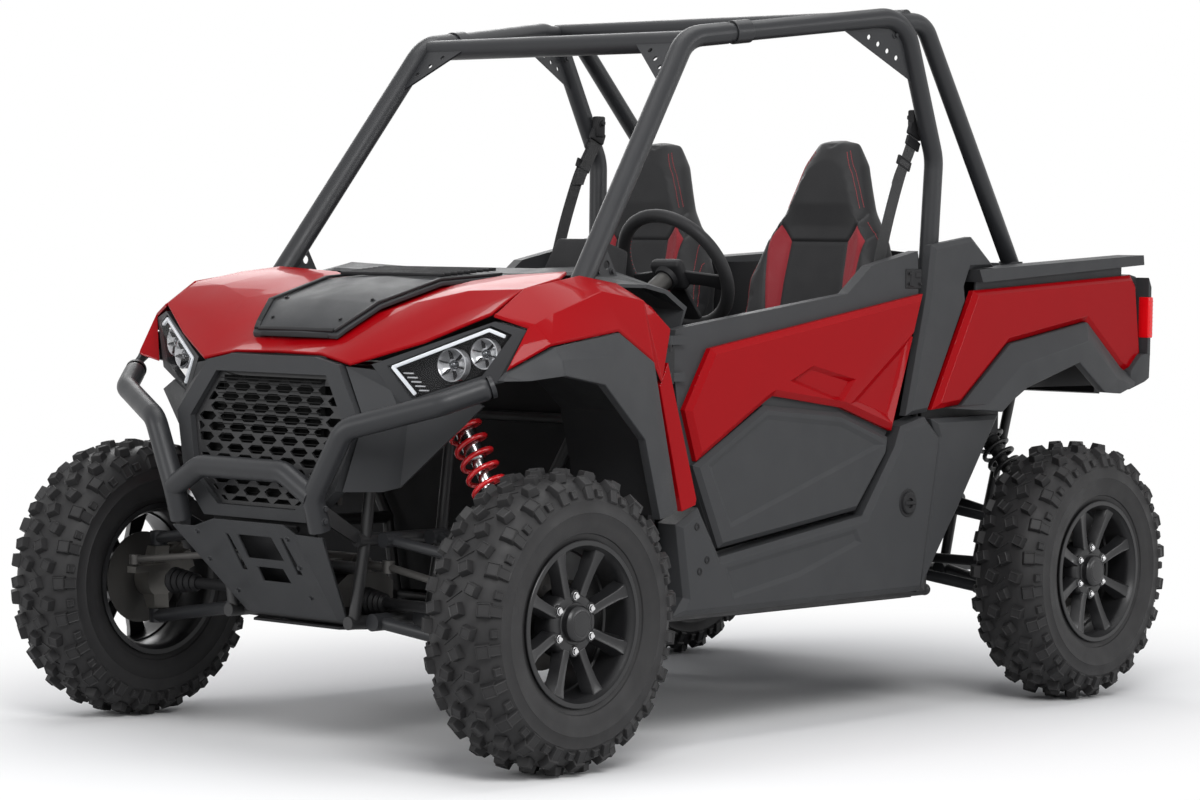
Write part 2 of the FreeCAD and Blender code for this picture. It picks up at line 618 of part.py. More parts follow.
def sym(half):
    return list(half) + [(-x, z) for x, z in reversed(half)]


HEADLAMP = [(338, 938), (565, 1038), (613, 1018), (550, 921), (394, 862)]       # x, z
BEZEL = [(303, 941), (574, 1048), (645, 1029), (583, 905), (372, 848)]
LAMP_DEEP = 62.0
BEZEL_DEEP = 24.0


def lamp_plate(outline, back, depth):
    """Outline of (x, z) points on the swept plane of the headlamps, carried along the vehicle."""
    return face([(x, -345.1 + 0.48 * x + 0.026 * z + back, z) for x, z in outline]).extrude(Vec(0, depth, 0))


def headlamps():
    housing = lamp_plate(HEADLAMP, 0, LAMP_DEEP).cut(lamp_plate(inset(HEADLAMP, 6), -10, LAMP_DEEP))
    lights = []
    for x, z in ((468, 946), (540, 972)):
        y = -345.1 + 0.48 * x + 0.026 * z
        lights.append(rod((x, y + 22, z), (x, y + LAMP_DEEP - 8, z), 27))
    put("headlamps", both(fuse([housing] + lights)))


MOUTH = [(192, 912), (268, 800), (225, 655), (135, 590)]      # x, z of the grille's opening


def fascia():
    outer = sym([(147, 954), (228, 938), (317, 810), (262, 640), (180, 562)])
    ring = front_plate(outer, 0, 40).cut(front_plate(sym(MOUTH), -5, 60))
    cheek = skin([[(240, -196, 935), (322, -216, 812), (278, -240, 640)],
                  [(340, -157, 925), (394, -134, 858), (330, -160, 640)],
                  [(420, -100, 905), (560, -60, 850), (350, -120, 650)]], (-4, 10, 0))
    bezel = lamp_plate(BEZEL, 2, BEZEL_DEEP).cut(lamp_plate(inset(HEADLAMP, -SEAT_GAP), -5, LAMP_DEEP))
    cheek = cheek.cut(lamp_plate(BEZEL, -60, 60 + LAMP_DEEP + 20))
    put("fascia", fuse([ring] + both(cheek) + both(bezel)))


def grille():
    plate = front_plate(inset(sym(MOUTH), SEAT_GAP), 16, 8)
    cells = []
    wide, high = 74, 25
    for row in range(14):
        z = 600 + row * high
        for col in range(-4, 5):
            x = (col + 0.5 * (row % 2)) * wide
            half = 0.5 * high - 2.5
            cell = front_plate([(x - 30, z), (x - 17, z + half), (x + 17, z + half), (x + 30, z),
                                (x + 17, z - half), (x - 17, z - half)], 10, 20)
            cells.append(cell)
    inner = front_plate(sym([(182, 900), (256, 798), (215, 662), (130, 600)]), 0, 60)
    keep = [c.common(inner) for c in cells]
    put("grille", plate.cut(Part.makeCompound([c for c in keep if c.Volume > 1500])))
    put("drivetrain", slab_y(sym([(180, 932), (180, 600)]), -160, -130 - CROSS_R - SEAT_GAP))


def bumper():
    main = [(609, -115, 890), (552, -189, 857), (331, -288, 792), (243, -302, 628), (243, -278, 549)]
    tubes = []
    for s in (-1, 1):
        tubes.append(bent_tube([(s * x, y, z) for x, y, z in main], BUMPER_R, 60))
        tubes.append(Part.makeSphere(BUMPER_R, Vec(s * main[0][0], main[0][1], main[0][2])))
    hoop = bent_tube([(-243, -303, 628), (-145, -306, 684), (145, -306, 684), (243, -303, 628)], BUMPER_R, 70)
    put("bumper", fuse(tubes + [hoop]))


def skid():
    top = across([(122, -287, 556), (178, -297, 536), (263, -292, 534)])
    low = across([(100, -124, PAN_Z + 21), (150, -126, PAN_Z + 21), (176, -120, PAN_Z + 23)])
    plate = skin([top, low], (0, 8, 0))
    for x0, x1, z0, z1 in [(-62, 62, 462, 520), (-48, 48, 405, 440), (88, 104, 430, 520), (-104, -88, 430, 520)]:
        plate = plate.cut(slab_y([(x0, z0), (x1, z0), (x1 - 4, z1), (x0 + 4, z1)], -320, -100))
    put("front_skid", plate)


# ---- dash and controls ---------------------------------------------------------
def unit_back():
    t = math.radians(WHEEL_TILT)
    return Vec(0, math.cos(t), math.sin(t))


def along(p, d):
    q = vec(p) + unit_back() * d
    return (q.x, q.y, q.z)


COLUMN_R = 24.0


def dash():
    rows = [
        [(0, 410, 1160), (230, 410, 1158), (420, 410, 1165), (557, 402, 1138)],
        [(0, 480, 1172), (230, 480, 1172), (420, 470, 1180), (596, 483, 1137)],
        [(0, 560, 1150), (230, 560, 1150), (420, 560, 1168), (598, 558, 1123)],
        [(0, 600, 1090), (230, 600, 1085), (420, 610, 1090), (598, 630, 1082)],
        [(0, 590, 960), (230, 590, 950), (420, 600, 950), (596, 610, 1030)],
    ]
    shell = skin([across(r) for r in rows], (0, -12, -8))
    x, y, z = along(WHEEL_AT, (600 - WHEEL_AT[1]) / unit_back().y)
    half = COLUMN_R + SEAT_GAP
    high = half / math.cos(math.radians(WHEEL_TILT)) + 14
    put("dash", shell.cut(Part.makeBox(2 * half, 160, 2 * high, Vec(x - half, y - 80, z - high))))


def controls():
    hub = along(WHEEL_AT, -42)
    ring = Part.makeTorus(WHEEL_R - WHEEL_RING_R, WHEEL_RING_R, Vec(0, 0, 0), Vec(0, 0, 1))
    ring.rotate(Vec(0, 0, 0), Vec(1, 0, 0), WHEEL_TILT - 90)
    ring.translate(vec(WHEEL_AT))
    pieces = [ring, rod(hub, along(WHEEL_AT, -8), 34), rod(along(WHEEL_AT, -96), hub, 9)]
    for a in (-25, 205, 270):
        t = math.radians(a)
        up = Vec(0, -math.sin(math.radians(WHEEL_TILT)), math.cos(math.radians(WHEEL_TILT)))
        tip = vec(WHEEL_AT) + (Vec(1, 0, 0) * math.cos(t) + up * math.sin(t)) * (WHEEL_R - WHEEL_RING_R)
        pieces.append(rod(along(WHEEL_AT, -25), (tip.x, tip.y, tip.z), 11))
    put("steering_wheel", fuse(pieces))
    wall = CABIN_FRONT + TUB_T + SEAT_GAP + COLUMN_R * unit_back().z
    column = rod(along(WHEEL_AT, (wall - WHEEL_AT[1]) / unit_back().y), along(WHEEL_AT, -46), COLUMN_R)
    column = column.cut(rod(along(WHEEL_AT, -96.5), along(WHEEL_AT, -40), 9 + RUN_CLEAR))
    put("steering_gear", column)
    housing = rod((-150, RACK_Y, RACK_Z), (150, RACK_Y, RACK_Z), 26)
    travel = STEER_ARM * math.sin(math.radians(STEER_LOCK))
    boot_end = ROD_END - PIN_R - travel - 6
    boots = [rod((s * 150, RACK_Y, RACK_Z), (s * boot_end, RACK_Y, RACK_Z), 20) for s in (-1, 1)]
    bore = rod((-boot_end, RACK_Y, RACK_Z), (boot_end, RACK_Y, RACK_Z), 11 + RUN_CLEAR)
    clamps = [Part.makeBox(30, 40, 24, Vec(x - 15, -130 + CROSS_R + SEAT_GAP, RACK_Z - 12)) for x in (-110, 110)]
    put("steering_gear", fuse([housing] + boots + clamps).cut(bore))
    bar = [rod((-ROD_END, RACK_Y, RACK_Z), (ROD_END, RACK_Y, RACK_Z), 11)]
    for s in (-1, 1):
        end = (s * (STEER_X - 38), -STEER_ARM, TYRE_R + 58)
        bar += [Part.makeCylinder(PIN_R, 30, Vec(s * ROD_END, RACK_Y, RACK_Z - 15)),
                rod((s * ROD_END, RACK_Y, RACK_Z), end, 9),
                Part.makeCylinder(PIN_R, 24, Vec(end[0], end[1], end[2] - 12))]
    put("tie_rods", fuse(bar))


# ---- seats ---------------------------------------------------------------------
SEAT_BACK = [  # z, front y, rear y, half width
    (SEAT_BOX_Z + SEAT_GAP, 1384, 1524, 240), (900, 1440, 1575, 250), (1150, 1480, 1605, 236),
    (1256, 1506, 1612, 200), (1341, 1524, 1622, 148), (1470, 1545, 1636, 104), (1534, 1562, 1634, 66)]


def seats():
    def ring(z, y0, y1, w):
        c = 28
        return [(-w + c, y0, z), (w - c, y0, z), (w, y0 + c, z), (w, y1 - c, z),
                (w - c, y1, z), (-w + c, y1, z), (-w, y1 - c, z), (-w, y0 + c, z)]
    back = strip([ring(*row) for row in SEAT_BACK])
    cushion = strip([
        [(-238, 930, 600), (238, 930, 600), (250, 950, 640), (240, 965, 700), (-240, 965, 700), (-250, 950, 640)],
        [(-245, 1380, 600), (245, 1380, 600), (255, 1380, 640), (250, 1380, 690), (-250, 1380, 690), (-255, 1380, 640)]])
    for shape, name in ((back, "seat_backs"), (cushion, "seat_cushions")):
        pair = []
        for s in (-1, 1):
            one = shape.copy()
            one.translate(Vec(s * SEAT_X, 0, 0))
            pair.append(one)
        put(name, pair)


def bulkhead():
    leg_side, collar_side = POST_X - CAGE_R - 2 * SEAT_GAP, POST_X - COLLAR_R - SEAT_GAP
    panel = slab_y(sym([(380, 1195), (430, 1236), (555, 1225), (leg_side, 1150), (leg_side, CAGE_FOOT_Z + 11),
                        (collar_side, CAGE_FOOT_Z + 11), (collar_side, 720)]), POST_Y, POST_Y + 10)
    put("bulkhead", panel)


# ---- sides ---------------------------------------------------------------------
DOOR = [(541, 1027), (591, 1036), (1230, 1117), (1333, 1191), (1535, 1232), (1541, 1118), (1500, 1004),
        (1412, 757), (1401, 740), (1392, 697), (1266, 552), (702, 481), (596, 699), (553, 834), (528, 980)]
DOOR_RED = [(659, 981), (1541, 1118), (1500, 1004), (1412, 757), (1194, 823), (909, 859), (879, 846),
            (611, 703), (563, 831)]
DOOR_DARK = [(596, 694), (874, 838), (1194, 812), (1401, 742), (1392, 697), (1266, 552), (702, 481)]
HINGE_ZS = (885.0, 975.0)


def doors():
    shell = slab_x(DOOR, DOOR_IN, SKIN_X - 22)
    lower = raised(inset(DOOR_DARK, 2), SKIN_X - 22, SKIN_X, 10)
    leaves = []
    foot = FLOOR_Z
    posts = [Part.makeBox(22, 26, 1044 - foot, Vec(584, 484, foot)), Part.makeBox(22, 56, 16, Vec(584, 484, foot))]
    for z in HINGE_ZS:
        leaf = Part.makeBox(20, 60, 22, Vec(HINGE[0] - 14, HINGE[1], z + 16.3))
        barrel = Part.makeCylinder(10, 22, Vec(HINGE[0], HINGE[1], z + 16.3))
        leaves.append(fuse([leaf, barrel]).cut(
            Part.makeCylinder(5 + RUN_CLEAR, 22, Vec(HINGE[0], HINGE[1], z + 16.3))))
        posts.append(Part.makeCylinder(10, 16, Vec(HINGE[0], HINGE[1], z)))
        posts.append(Part.makeCylinder(5, 40, Vec(HINGE[0], HINGE[1], z)))
        posts.append(Part.makeBox(HINGE[0] - 600, 16, 16, Vec(600, HINGE[1] - 16, z)))
    door = fuse([shell, lower] + leaves)
    red = raised(DOOR_RED, SKIN_X - 22, SKIN_X + 4, 12)
    red = red.cut(door)
    put("hinge_posts", both(fuse(posts)))
    put("door_left", door)
    put("door_right", mirror(door))
    put("door_panel_left", red)
    put("door_panel_right", mirror(red))


ROCKER = [(512, 324), (1534, 328), (1567, 499), (1610, 734), (1541, 792), (1436, 769), (1412, 715),
          (1276, 540), (690, 463), (604, 591), (520, 552), (553, 370)]
PILLAR = [(1478, 790), (1560, 1110), (1580, 1251), (1765, 1276), (1880, 1191), (1760, 1181), (1738, 1137),
          (1745, 1100), (1578, 800)]
QUARTER = [(1584, 808), (1762, 1118), (1766, 1127)] + aft([
    (394, 1174), (420, 1147), (449, 949), (398, 889), (336, 912.5), (161, 1042), (-215, 984)]) + [(1706, 819)]
REAR_ARCH = [(WHEELBASE + top, zt, WHEELBASE + edge, ze, 0) for top, zt, edge, ze in [
    (-505, 812, -306, 799), (-439, 818, -265, 826), (-215, 983, -189, 863), (160, 1041, 62, 928),
    (334, 911, 192, 843), (426, 874, 275, 838)]]
REAR_TRIM = [(1584, 785), (1897, 789), (1708, 532), (1535, 322)] + [(y + 0.4, z) for y, z in ROCKER[2:4]]


def sides():
    put("side_trims", both(raised(ROCKER, SILL_X + SILL_R + WELD + SEAT_GAP, 676, 12)))
    put("side_trims", both(raised(inset(PILLAR, 3), POST_X + COLLAR_R + SEAT_GAP, 656, 10)))
    arch = flare(REAR_ARCH, 668, 712, 26)
    put("rear_flares", both(arch))
    put("quarter_panels", both(raised(QUARTER, 640, 668, 12)))
    put("side_trims", both(raised(REAR_TRIM, 630, 664, 10)))


def bed():
    t = BED_T
    h = 575
    floor = slab_z([(-h, BED_FRONT), (h, BED_FRONT), (h, BED_REAR), (-h, BED_REAR)], BED_FLOOR - t, BED_FLOOR)
    walls = [slab_x([(BED_FRONT, BED_FLOOR - t), (BED_REAR, BED_FLOOR - t), (BED_REAR, 1205), (BED_FRONT, 1180)],
                    s * h, s * (h + t)) for s in (-1, 1)]
    front = slab_y(sym([(h + t, 1180), (h + t, BED_FLOOR - t)]), BED_FRONT - t, BED_FRONT)
    ledges = []
    for s in (-1, 1):
        x, y, z = REAR_FOOT
        ledges.append(Part.makeBox(68, 64, 34, Vec(s * 545 - 34, y - 32, z - SHOE_H - SEAT_GAP - 34)))
    put("bed", fuse([floor, front] + walls + ledges))
    end = TAIL_Y - 28
    rail = slab_x([(1772, 1184), (1790, 1150), (end, 1204), (end - 4, 1232)], 581.3, 672)
    rail = rail.cut(slab_x([(1700, 1100), (end + 110, 1100), (end + 110, 1196), (1700, 1146)], 592, 660))
    web = slab_x([(1800, 1090), (end - 70, 1130), (end - 70, 1200), (1800, 1156)], 634, 640 - SEAT_GAP)
    put("bed_rails", both(rail.fuse(web)))


def tail():
    y0 = BED_REAR + 2
    gate = slab_x([(y0, 874), (y0 + 30, 874), (y0 + 30, 1204), (y0, 1204)], -556, 556)
    pocket = slab_x([(y0 + 24, 900), (y0 + 40, 900), (y0 + 40, 1170), (y0 + 24, 1170)], -520, 520)
    ears = []
    fixed = []
    ay, az = TAILGATE_PIN
    for s in (-1, 1):
        x0 = min(s * 300, s * 330)
        ears.append(rod((x0, ay, az), (x0 + 30, ay, az), 12).fuse(
            Part.makeBox(30, 20, 26, Vec(x0, ay - 10, az))).cut(
                rod((x0 - 1, ay, az), (x0 + 31, ay, az), 6 + RUN_CLEAR)))
        fixed.append(rod((s * 270, ay, az), (s * 360, ay, az), 6))
        for x in (264, 348):
            xx = min(s * x, s * (x + 14))
            fixed.append(Part.makeBox(14, 44, 18, Vec(xx, ay - 36, az - 10)))
    put("tailgate", fuse([gate.cut(pocket)] + ears))
    put("bed", fuse(NODES.pop("bed") + fixed))
    lamp = slab_x([(TAIL_Y - 18, 1000), (TAIL_Y, 994), (TAIL_Y, 1108), (TAIL_Y - 18, 1112)], 652, 681)
    front, back = BED_REAR + 2 + SEAT_GAP, TAIL_Y - 6
    house = slab_x([(front, 950), (back, 944), (back, 1140), (back - 16, 1170), (front, 1176)], 590, 684)
    house = house.cut(slab_x([(front - 60, 900), (back - 15, 900), (back - 15, 1200), (front - 60, 1200)], 639.7, 700))
    put("tail_lamps", both(lamp))
    put("rear_corners", both(house.cut(lamp)))
    y0, top = TAIL_Y - 106, BED_FLOOR - BED_T - SEAT_GAP
    put("rear_valance", slab_x([(y0, 834), (y0 + 29, 830), (y0 + 29, top), (y0, top)], -560, 560))


# ---- engine and running gear ---------------------------------------------------
def running():
    back, low = WHEELBASE - 105, PAN_Z + 56
    engine = slab_x([(1740, low), (back, low), (back, 640), (back - 80, 780), (1740, 780)], -185, 185)
    y_can = WHEELBASE + 215
    pipe = rod((0, back - 40, 600), (0, y_can, 600), 22)
    riser = rod((0, y_can, 578), (0, y_can, 690), 22)
    can = rod((-230, y_can, 690), (190, y_can, 690), 78)
    gearcases = []
    for y0, name in ((0, "front"), (WHEELBASE, "rear")):
        x_end = STEER_X - (56 if y0 == 0 else 17)
        shaft = rod((118, y0, TYRE_R), (x_end, y0, TYRE_R), 14)
        boots = []
        for x0, x1 in ((118, 192), (x_end - 100, x_end)):
            n = 5
            step = (x1 - x0) / n
            for i in range(n):
                k = abs((i + 0.5) / n - (1.0 if x0 > RAIL_X else 0.0))
                big = 36 - 14 * k
                boots.append(turned([(x0 + i * step, 0), (x0 + i * step, big - 6), (x0 + (i + 0.5) * step, big),
                                     (x0 + (i + 1) * step, big - 6), (x0 + (i + 1) * step, 0)]))
        grown = []
        for b in boots:
            b = b.copy()
            b.translate(Vec(0, y0, TYRE_R))
            grown.append(b)
        put("half_shafts", both(fuse([shaft] + grown)))
        s = 1 if y0 == 0 else -1
        front = y0 - 95 if y0 == 0 else y0 - 110
        z = TYRE_R - 11
        case = slab_x([(front, z), (y0 + 95, z), (y0 + 95, z + 55), (y0 + 60, z + 79), (y0 - 60, z + 79),
                       (front, z + 55)], -117.7, 117.7)
        ends = sorted((y0 + s * 80, y0 + s * (130 - CROSS_R - SEAT_GAP)))
        foot = Part.makeBox(80, ends[1] - ends[0], 50, Vec(-40, ends[0], RAIL_Z - CROSS_R))
        gearcases.append(case.fuse(foot))
        top = TOWER_Z if y0 == 0 else REAR_TOP_Z
        y = y0 + SHOCK_DY
        a = (342, y, top - FRAME_R - SEAT_GAP - 16)
        b = (556, y, 540)
        def at(k):
            return tuple(p + (q - p) * k for p, q in zip(a, b))
        eyes = [rod((p[0], y - 18, p[2]), (p[0], y + 18, p[2]), 16) for p in (a, b)]
        body = [rod(a, at(0.5), 25), rod(at(0.5), b, 17), rod(at(0.14), at(0.17), 47), rod(at(0.84), at(0.87), 47)]
        put("shocks", both(fuse(eyes + body)))
        put(f"{name}_springs", both(coil(at(0.17), at(0.84), 40, 6, 7)))
    put("drivetrain", gearcases[0], fuse([engine, pipe, riser, can, gearcases[1]]))


def coil(a, b, radius, wire_r, turns):
    """Spring: hexagonal wire in straight facets round a helix."""
    per = 12
    axis = vec(b) - vec(a)
    length = axis.Length
    w = axis.normalize()
    u = w.cross(Vec(0, 1, 0)).normalize()
    v = w.cross(u)
    sections = []
    flat = wire_r * math.sin(2 * math.pi / 5) + SEAT_GAP
    span = length - 2 * flat
    for i in range(turns * per + 1):
        t = 2 * math.pi * i / per
        out = u * math.cos(t) + v * math.sin(t)
        mid = vec(a) + w * (flat + span * i / (turns * per)) + out * radius
        ring = []
        for k in range(5):
            q = 2 * math.pi * k / 5
            p = mid + out * (wire_r * math.cos(q)) + w * (wire_r * math.sin(q))
            ring.append((p.x, p.y, p.z))
        sections.append(ring)
    return strip(sections)


BELT = [(572, 1594, 1532), (575, 1535, 1440), (576, 1452, 1230), (577, 1380, 900), (576, 1372, 760)]
BELT_W, BELT_T = 48.0, 2.0


def belts():
    for s in (-1, 1):
        guide = Part.makeBox(25.5, 40, 60, Vec(min(s * 552, s * 577.5), 1586, 1524))
        web = strip([[(s * x, y - BELT_W / 2, z), (s * x, y + BELT_W / 2, z),
                      (s * (x - BELT_T), y + BELT_W / 2, z), (s * (x - BELT_T), y - BELT_W / 2, z)] for x, y, z in BELT])
        put("seat_belts", [fuse([guide, web])])


def main():
    frame()
    floor_tub()
    cage()
    front_body()
    fascia()
    grille()
    headlamps()
    bumper()
    skid()
    dash()
    controls()
    seats()
    bulkhead()
    doors()
    sides()
    bed()
    tail()
    running()
    belts()
    wheels()
    suspension()


def save():
    os.makedirs("parts", exist_ok=True)
    for name, shapes in NODES.items():
        solids = []
        for s in shapes:
            solids += s.Solids
        whole = solids[0] if len(solids) == 1 else Part.makeCompound(solids)
        whole = whole.copy()
        whole.translate(Vec(0, ORIGIN_SHIFT, 0))
        whole.exportStep(f"parts/{name}.step")
        print(name, len(solids), "solids", round(sum(s.Volume for s in solids) / 1e6, 2), "litres",
              all(s.isValid() for s in solids))


main()
save()
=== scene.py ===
# %% [markdown]
# # Dressing a side by side utility vehicle
#
# The construction of the vehicle is already settled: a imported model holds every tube, panel, wheel and
# hinge at its real size, in metres, with +Z up and the vehicle driving towards -Y. This notebook gives it
# its looks. It paints the pieces whose shape is right as they are, rounds the edges of the moulded ones,
# and models what is too fine for the construction, such as tread, stitching, lenses and bolts.

# %% Load the fixed frame
import json
import math

import bmesh
import bpy
from mathutils import Matrix, Vector
from mathutils.bvhtree import BVHTree

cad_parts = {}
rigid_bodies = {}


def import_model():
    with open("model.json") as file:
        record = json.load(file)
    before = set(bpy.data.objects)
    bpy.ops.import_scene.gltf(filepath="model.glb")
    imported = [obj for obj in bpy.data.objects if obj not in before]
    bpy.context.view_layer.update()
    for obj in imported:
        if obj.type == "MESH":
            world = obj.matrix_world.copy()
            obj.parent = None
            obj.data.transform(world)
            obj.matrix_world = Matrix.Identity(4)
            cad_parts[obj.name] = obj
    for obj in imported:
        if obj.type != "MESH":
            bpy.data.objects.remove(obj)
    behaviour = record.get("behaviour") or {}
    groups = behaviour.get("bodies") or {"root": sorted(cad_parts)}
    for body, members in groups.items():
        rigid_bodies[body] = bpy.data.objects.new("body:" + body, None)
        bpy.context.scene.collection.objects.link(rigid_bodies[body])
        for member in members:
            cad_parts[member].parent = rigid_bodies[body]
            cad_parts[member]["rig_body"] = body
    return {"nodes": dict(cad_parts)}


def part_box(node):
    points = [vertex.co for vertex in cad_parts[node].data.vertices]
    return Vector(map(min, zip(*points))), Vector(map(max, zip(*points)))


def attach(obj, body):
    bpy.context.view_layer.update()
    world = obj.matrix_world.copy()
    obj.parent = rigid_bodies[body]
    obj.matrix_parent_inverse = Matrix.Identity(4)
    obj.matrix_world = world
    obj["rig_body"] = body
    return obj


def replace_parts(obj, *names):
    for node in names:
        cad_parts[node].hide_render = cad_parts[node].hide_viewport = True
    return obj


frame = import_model()
nodes = frame["nodes"]
body_of = {name: obj["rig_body"] for name, obj in nodes.items()}
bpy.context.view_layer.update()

# %% [markdown]
# ## Places on the vehicle
#
# The construction is measured in millimetres from the front axle: x to the vehicle's left, y rearwards and
# z up from the ground. Blender works in metres around the middle of the vehicle. One small function turns
# the first into the second, so that every number below can be read with a tape measure in mind.

# %% From workshop millimetres to the scene
rim_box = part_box("rim_front_left")
FRONT_AXLE = (rim_box[0][1] + rim_box[1][1]) / 2


def at(x, y, z):
    """A point given in millimetres from the front axle, as a place in the scene."""
    return Vector((x / 1000, FRONT_AXLE + y / 1000, z / 1000))


def mm(points):
    """Pairs of millimetres as pairs of metres."""
    return [(a / 1000, b / 1000) for a, b in points]


def rotated(degrees, axis):
    """A turn by that many degrees about the X, Y or Z axis."""
    return Matrix.Rotation(math.radians(degrees), 4, axis)


def looking(way):
    """A turn that makes a part's Z axis look along a direction."""
    return way.to_track_quat("Z", "Y").to_matrix().to_4x4()


moved = Matrix.Translation
MIRROR = Matrix.Scale(-1, 4, (1, 0, 0))
OUTWARD = rotated(90, "Y")                    # turns a part made along Z to lie along X
HANDS = ((1, "left"), (-1, "right"))
print("front axle at y =", round(FRONT_AXLE, 4))

# %% [markdown]
# ## Helpers for new pieces
#
# Every new piece is a bmesh that becomes a mesh object and rides on one body of the frame. Small parts are
# made on their own, near the origin where they are easy to think about, and then joined into the piece at
# their place. The edges of a moulded or pressed part are never sharp. A bevel a few millimetres wide
# catches the light along each edge, and that line of light is what makes a panel look real. It could be
# cut by hand, edge by edge, but the Bevel modifier finds every edge over a given angle, so the copies of
# construction panels get it that way.

# %% A piece from a bmesh, and a rounded copy of a construction piece
FLAT_ENOUGH = math.radians(0.6)               # faces that bend less than this are one flat face


def opened(mesh):
    """A bmesh with a mesh's contents."""
    bm = bmesh.new()
    bm.from_mesh(mesh)
    return bm


def stored(name, bm):
    """A bmesh's contents as a mesh. The bmesh is freed."""
    mesh = bpy.data.meshes.new(name)
    bm.to_mesh(mesh)
    bm.free()
    return mesh


def linked(name, data):
    """A new object in the scene."""
    obj = bpy.data.objects.new(name, data)
    bpy.context.scene.collection.objects.link(obj)
    return obj


def shade(mesh, angle):
    """Smooth shading, with the edges over that angle kept sharp."""
    bm = opened(mesh)
    limit = math.radians(angle)
    for f in bm.faces:
        f.smooth = True
    for e in bm.edges:
        e.smooth = not (len(e.link_faces) != 2 or e.calc_face_angle(0) > limit)
    bm.to_mesh(mesh)
    bm.free()


def piece(name, bm, body, materials, angle=32):
    """A mesh object from a bmesh, riding on a body."""
    mesh = stored(name, bm)
    obj = linked(name, mesh)
    for material in materials if isinstance(materials, (list, tuple)) else [materials]:
        mesh.materials.append(material)
    shade(mesh, angle)
    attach(obj, body)
    return obj


def merged(node):
    """The construction mesh with its loose triangles joined and its flat faces whole."""
    bm = opened(nodes[node].data)
    bmesh.ops.remove_doubles(bm, verts=bm.verts, dist=2e-5)
    bmesh.ops.dissolve_degenerate(bm, edges=bm.edges, dist=1e-5)
    bmesh.ops.dissolve_limit(bm, angle_limit=FLAT_ENOUGH, verts=bm.verts, edges=bm.edges)
    return bm


def round_edges(obj, width, segments, angle):
    """Rounds every edge over that angle."""
    bevel = obj.modifiers.new("rounded edges", "BEVEL")
    bevel.width = width
    bevel.segments = segments
    bevel.limit_method = "ANGLE"
    bevel.angle_limit = math.radians(angle)
    bevel.harden_normals = True


def rounded(node, width, material, segments=2):
    """A copy of a construction piece with its edges rounded, standing for it."""
    obj = piece(node + "_finish", merged(node), body_of[node], material)
    round_edges(obj, width, segments, 24)
    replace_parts(obj, node)


# %% Small parts: join, rod, box, turned part and bolt
def join(bm, part, place=Matrix(), index=None):
    """Moves a finished part into a piece, with a material index for its faces."""
    part.transform(place)
    if place.determinant() < 0:
        bmesh.ops.reverse_faces(part, faces=part.faces)
    if index is not None:
        for f in part.faces:
            f.material_index = index
    mesh = stored("part", part)
    bm.from_mesh(mesh)
    bpy.data.meshes.remove(mesh)


def bevelled(bm, width, segments=1, angle=30):
    """Bevels every edge over that angle."""
    limit = math.radians(angle)
    edges = [e for e in bm.edges if len(e.link_faces) == 2 and e.calc_face_angle(0) > limit]
    bmesh.ops.bevel(bm, geom=edges, offset=width, offset_type="OFFSET", segments=segments, profile=0.5,
                    affect="EDGES", clamp_overlap=True, material=-1)


def aimed(a, b):
    """A placement whose origin is halfway from a to b, with its Z axis along them."""
    return moved((a + b) / 2) @ looking(b - a)


def rod(bm, a, b, r, tip=None, sides=16, index=0):
    """A cylinder or cone from a to b, closed at both ends."""
    part = bmesh.new()
    bmesh.ops.create_cone(part, cap_ends=True, segments=sides, radius1=r, radius2=r if tip is None else tip,
                          depth=(b - a).length)
    join(bm, part, aimed(a, b), index)


def flipped(bm):
    """Mirrors a bmesh to the vehicle's other side, with its faces still looking out."""
    bm.transform(MIRROR)
    bmesh.ops.reverse_faces(bm, faces=bm.faces)
    return bm


def cube(size, bevel=0.0, segments=1):
    """A box of that size round the origin, in its own bmesh."""
    part = bmesh.new()
    bmesh.ops.create_cube(part, size=1.0)
    bmesh.ops.scale(part, vec=size, verts=part.verts)
    if bevel:
        bevelled(part, bevel, segments)
    return part


def turned(profile, steps=48):
    """(radius, height) points turned round the Z axis, in their own bmesh."""
    part = bmesh.new()
    verts = [part.verts.new((r, 0, h)) for r, h in profile]
    edges = [part.edges.new(pair) for pair in zip(verts, verts[1:])]
    bmesh.ops.spin(part, geom=verts + edges, cent=(0, 0, 0), axis=(0, 0, 1), angle=2 * math.pi, steps=steps,
                   use_merge=True)
    bmesh.ops.remove_doubles(part, verts=part.verts, dist=1e-6)
    bmesh.ops.dissolve_degenerate(part, edges=part.edges, dist=1e-7)
    bmesh.ops.recalc_face_normals(part, faces=part.faces)
    return part


def bolt(bm, foot, out, r=0.006, index=0):
    """A flanged hexagon bolt head standing on a surface at foot."""
    head = turned([(0, 0), (1.55 * r, 0), (1.45 * r, 0.25 * r), (1.05 * r, 0.35 * r)], 16)
    cap = bmesh.new()
    bmesh.ops.create_cone(cap, cap_ends=True, segments=6, radius1=r, radius2=r * 0.96, depth=r)
    bevelled(cap, r * 0.12)
    join(head, cap, moved((0, 0, 0.75 * r)))
    join(bm, head, moved(foot) @ looking(out), index)


def tube(bm, points, r, sides=8, index=0):
    """A round wire through points, closed at both ends."""
    curve = bpy.data.curves.new("wire", "CURVE")
    curve.dimensions = "3D"
    curve.bevel_depth = r
    curve.bevel_resolution = max(0, sides // 4 - 1)
    curve.use_fill_caps = True
    line = curve.splines.new("POLY")
    line.points.add(len(points) - 1)
    for point, place in zip(line.points, points):
        point.co = (*place, 1)
    holder = bpy.data.objects.new("wire", curve)
    mesh = bpy.data.meshes.new_from_object(holder)
    part = bmesh.new()
    part.from_mesh(mesh)
    bpy.data.objects.remove(holder)
    bpy.data.curves.remove(curve)
    bpy.data.meshes.remove(mesh)
    join(bm, part, Matrix(), index)


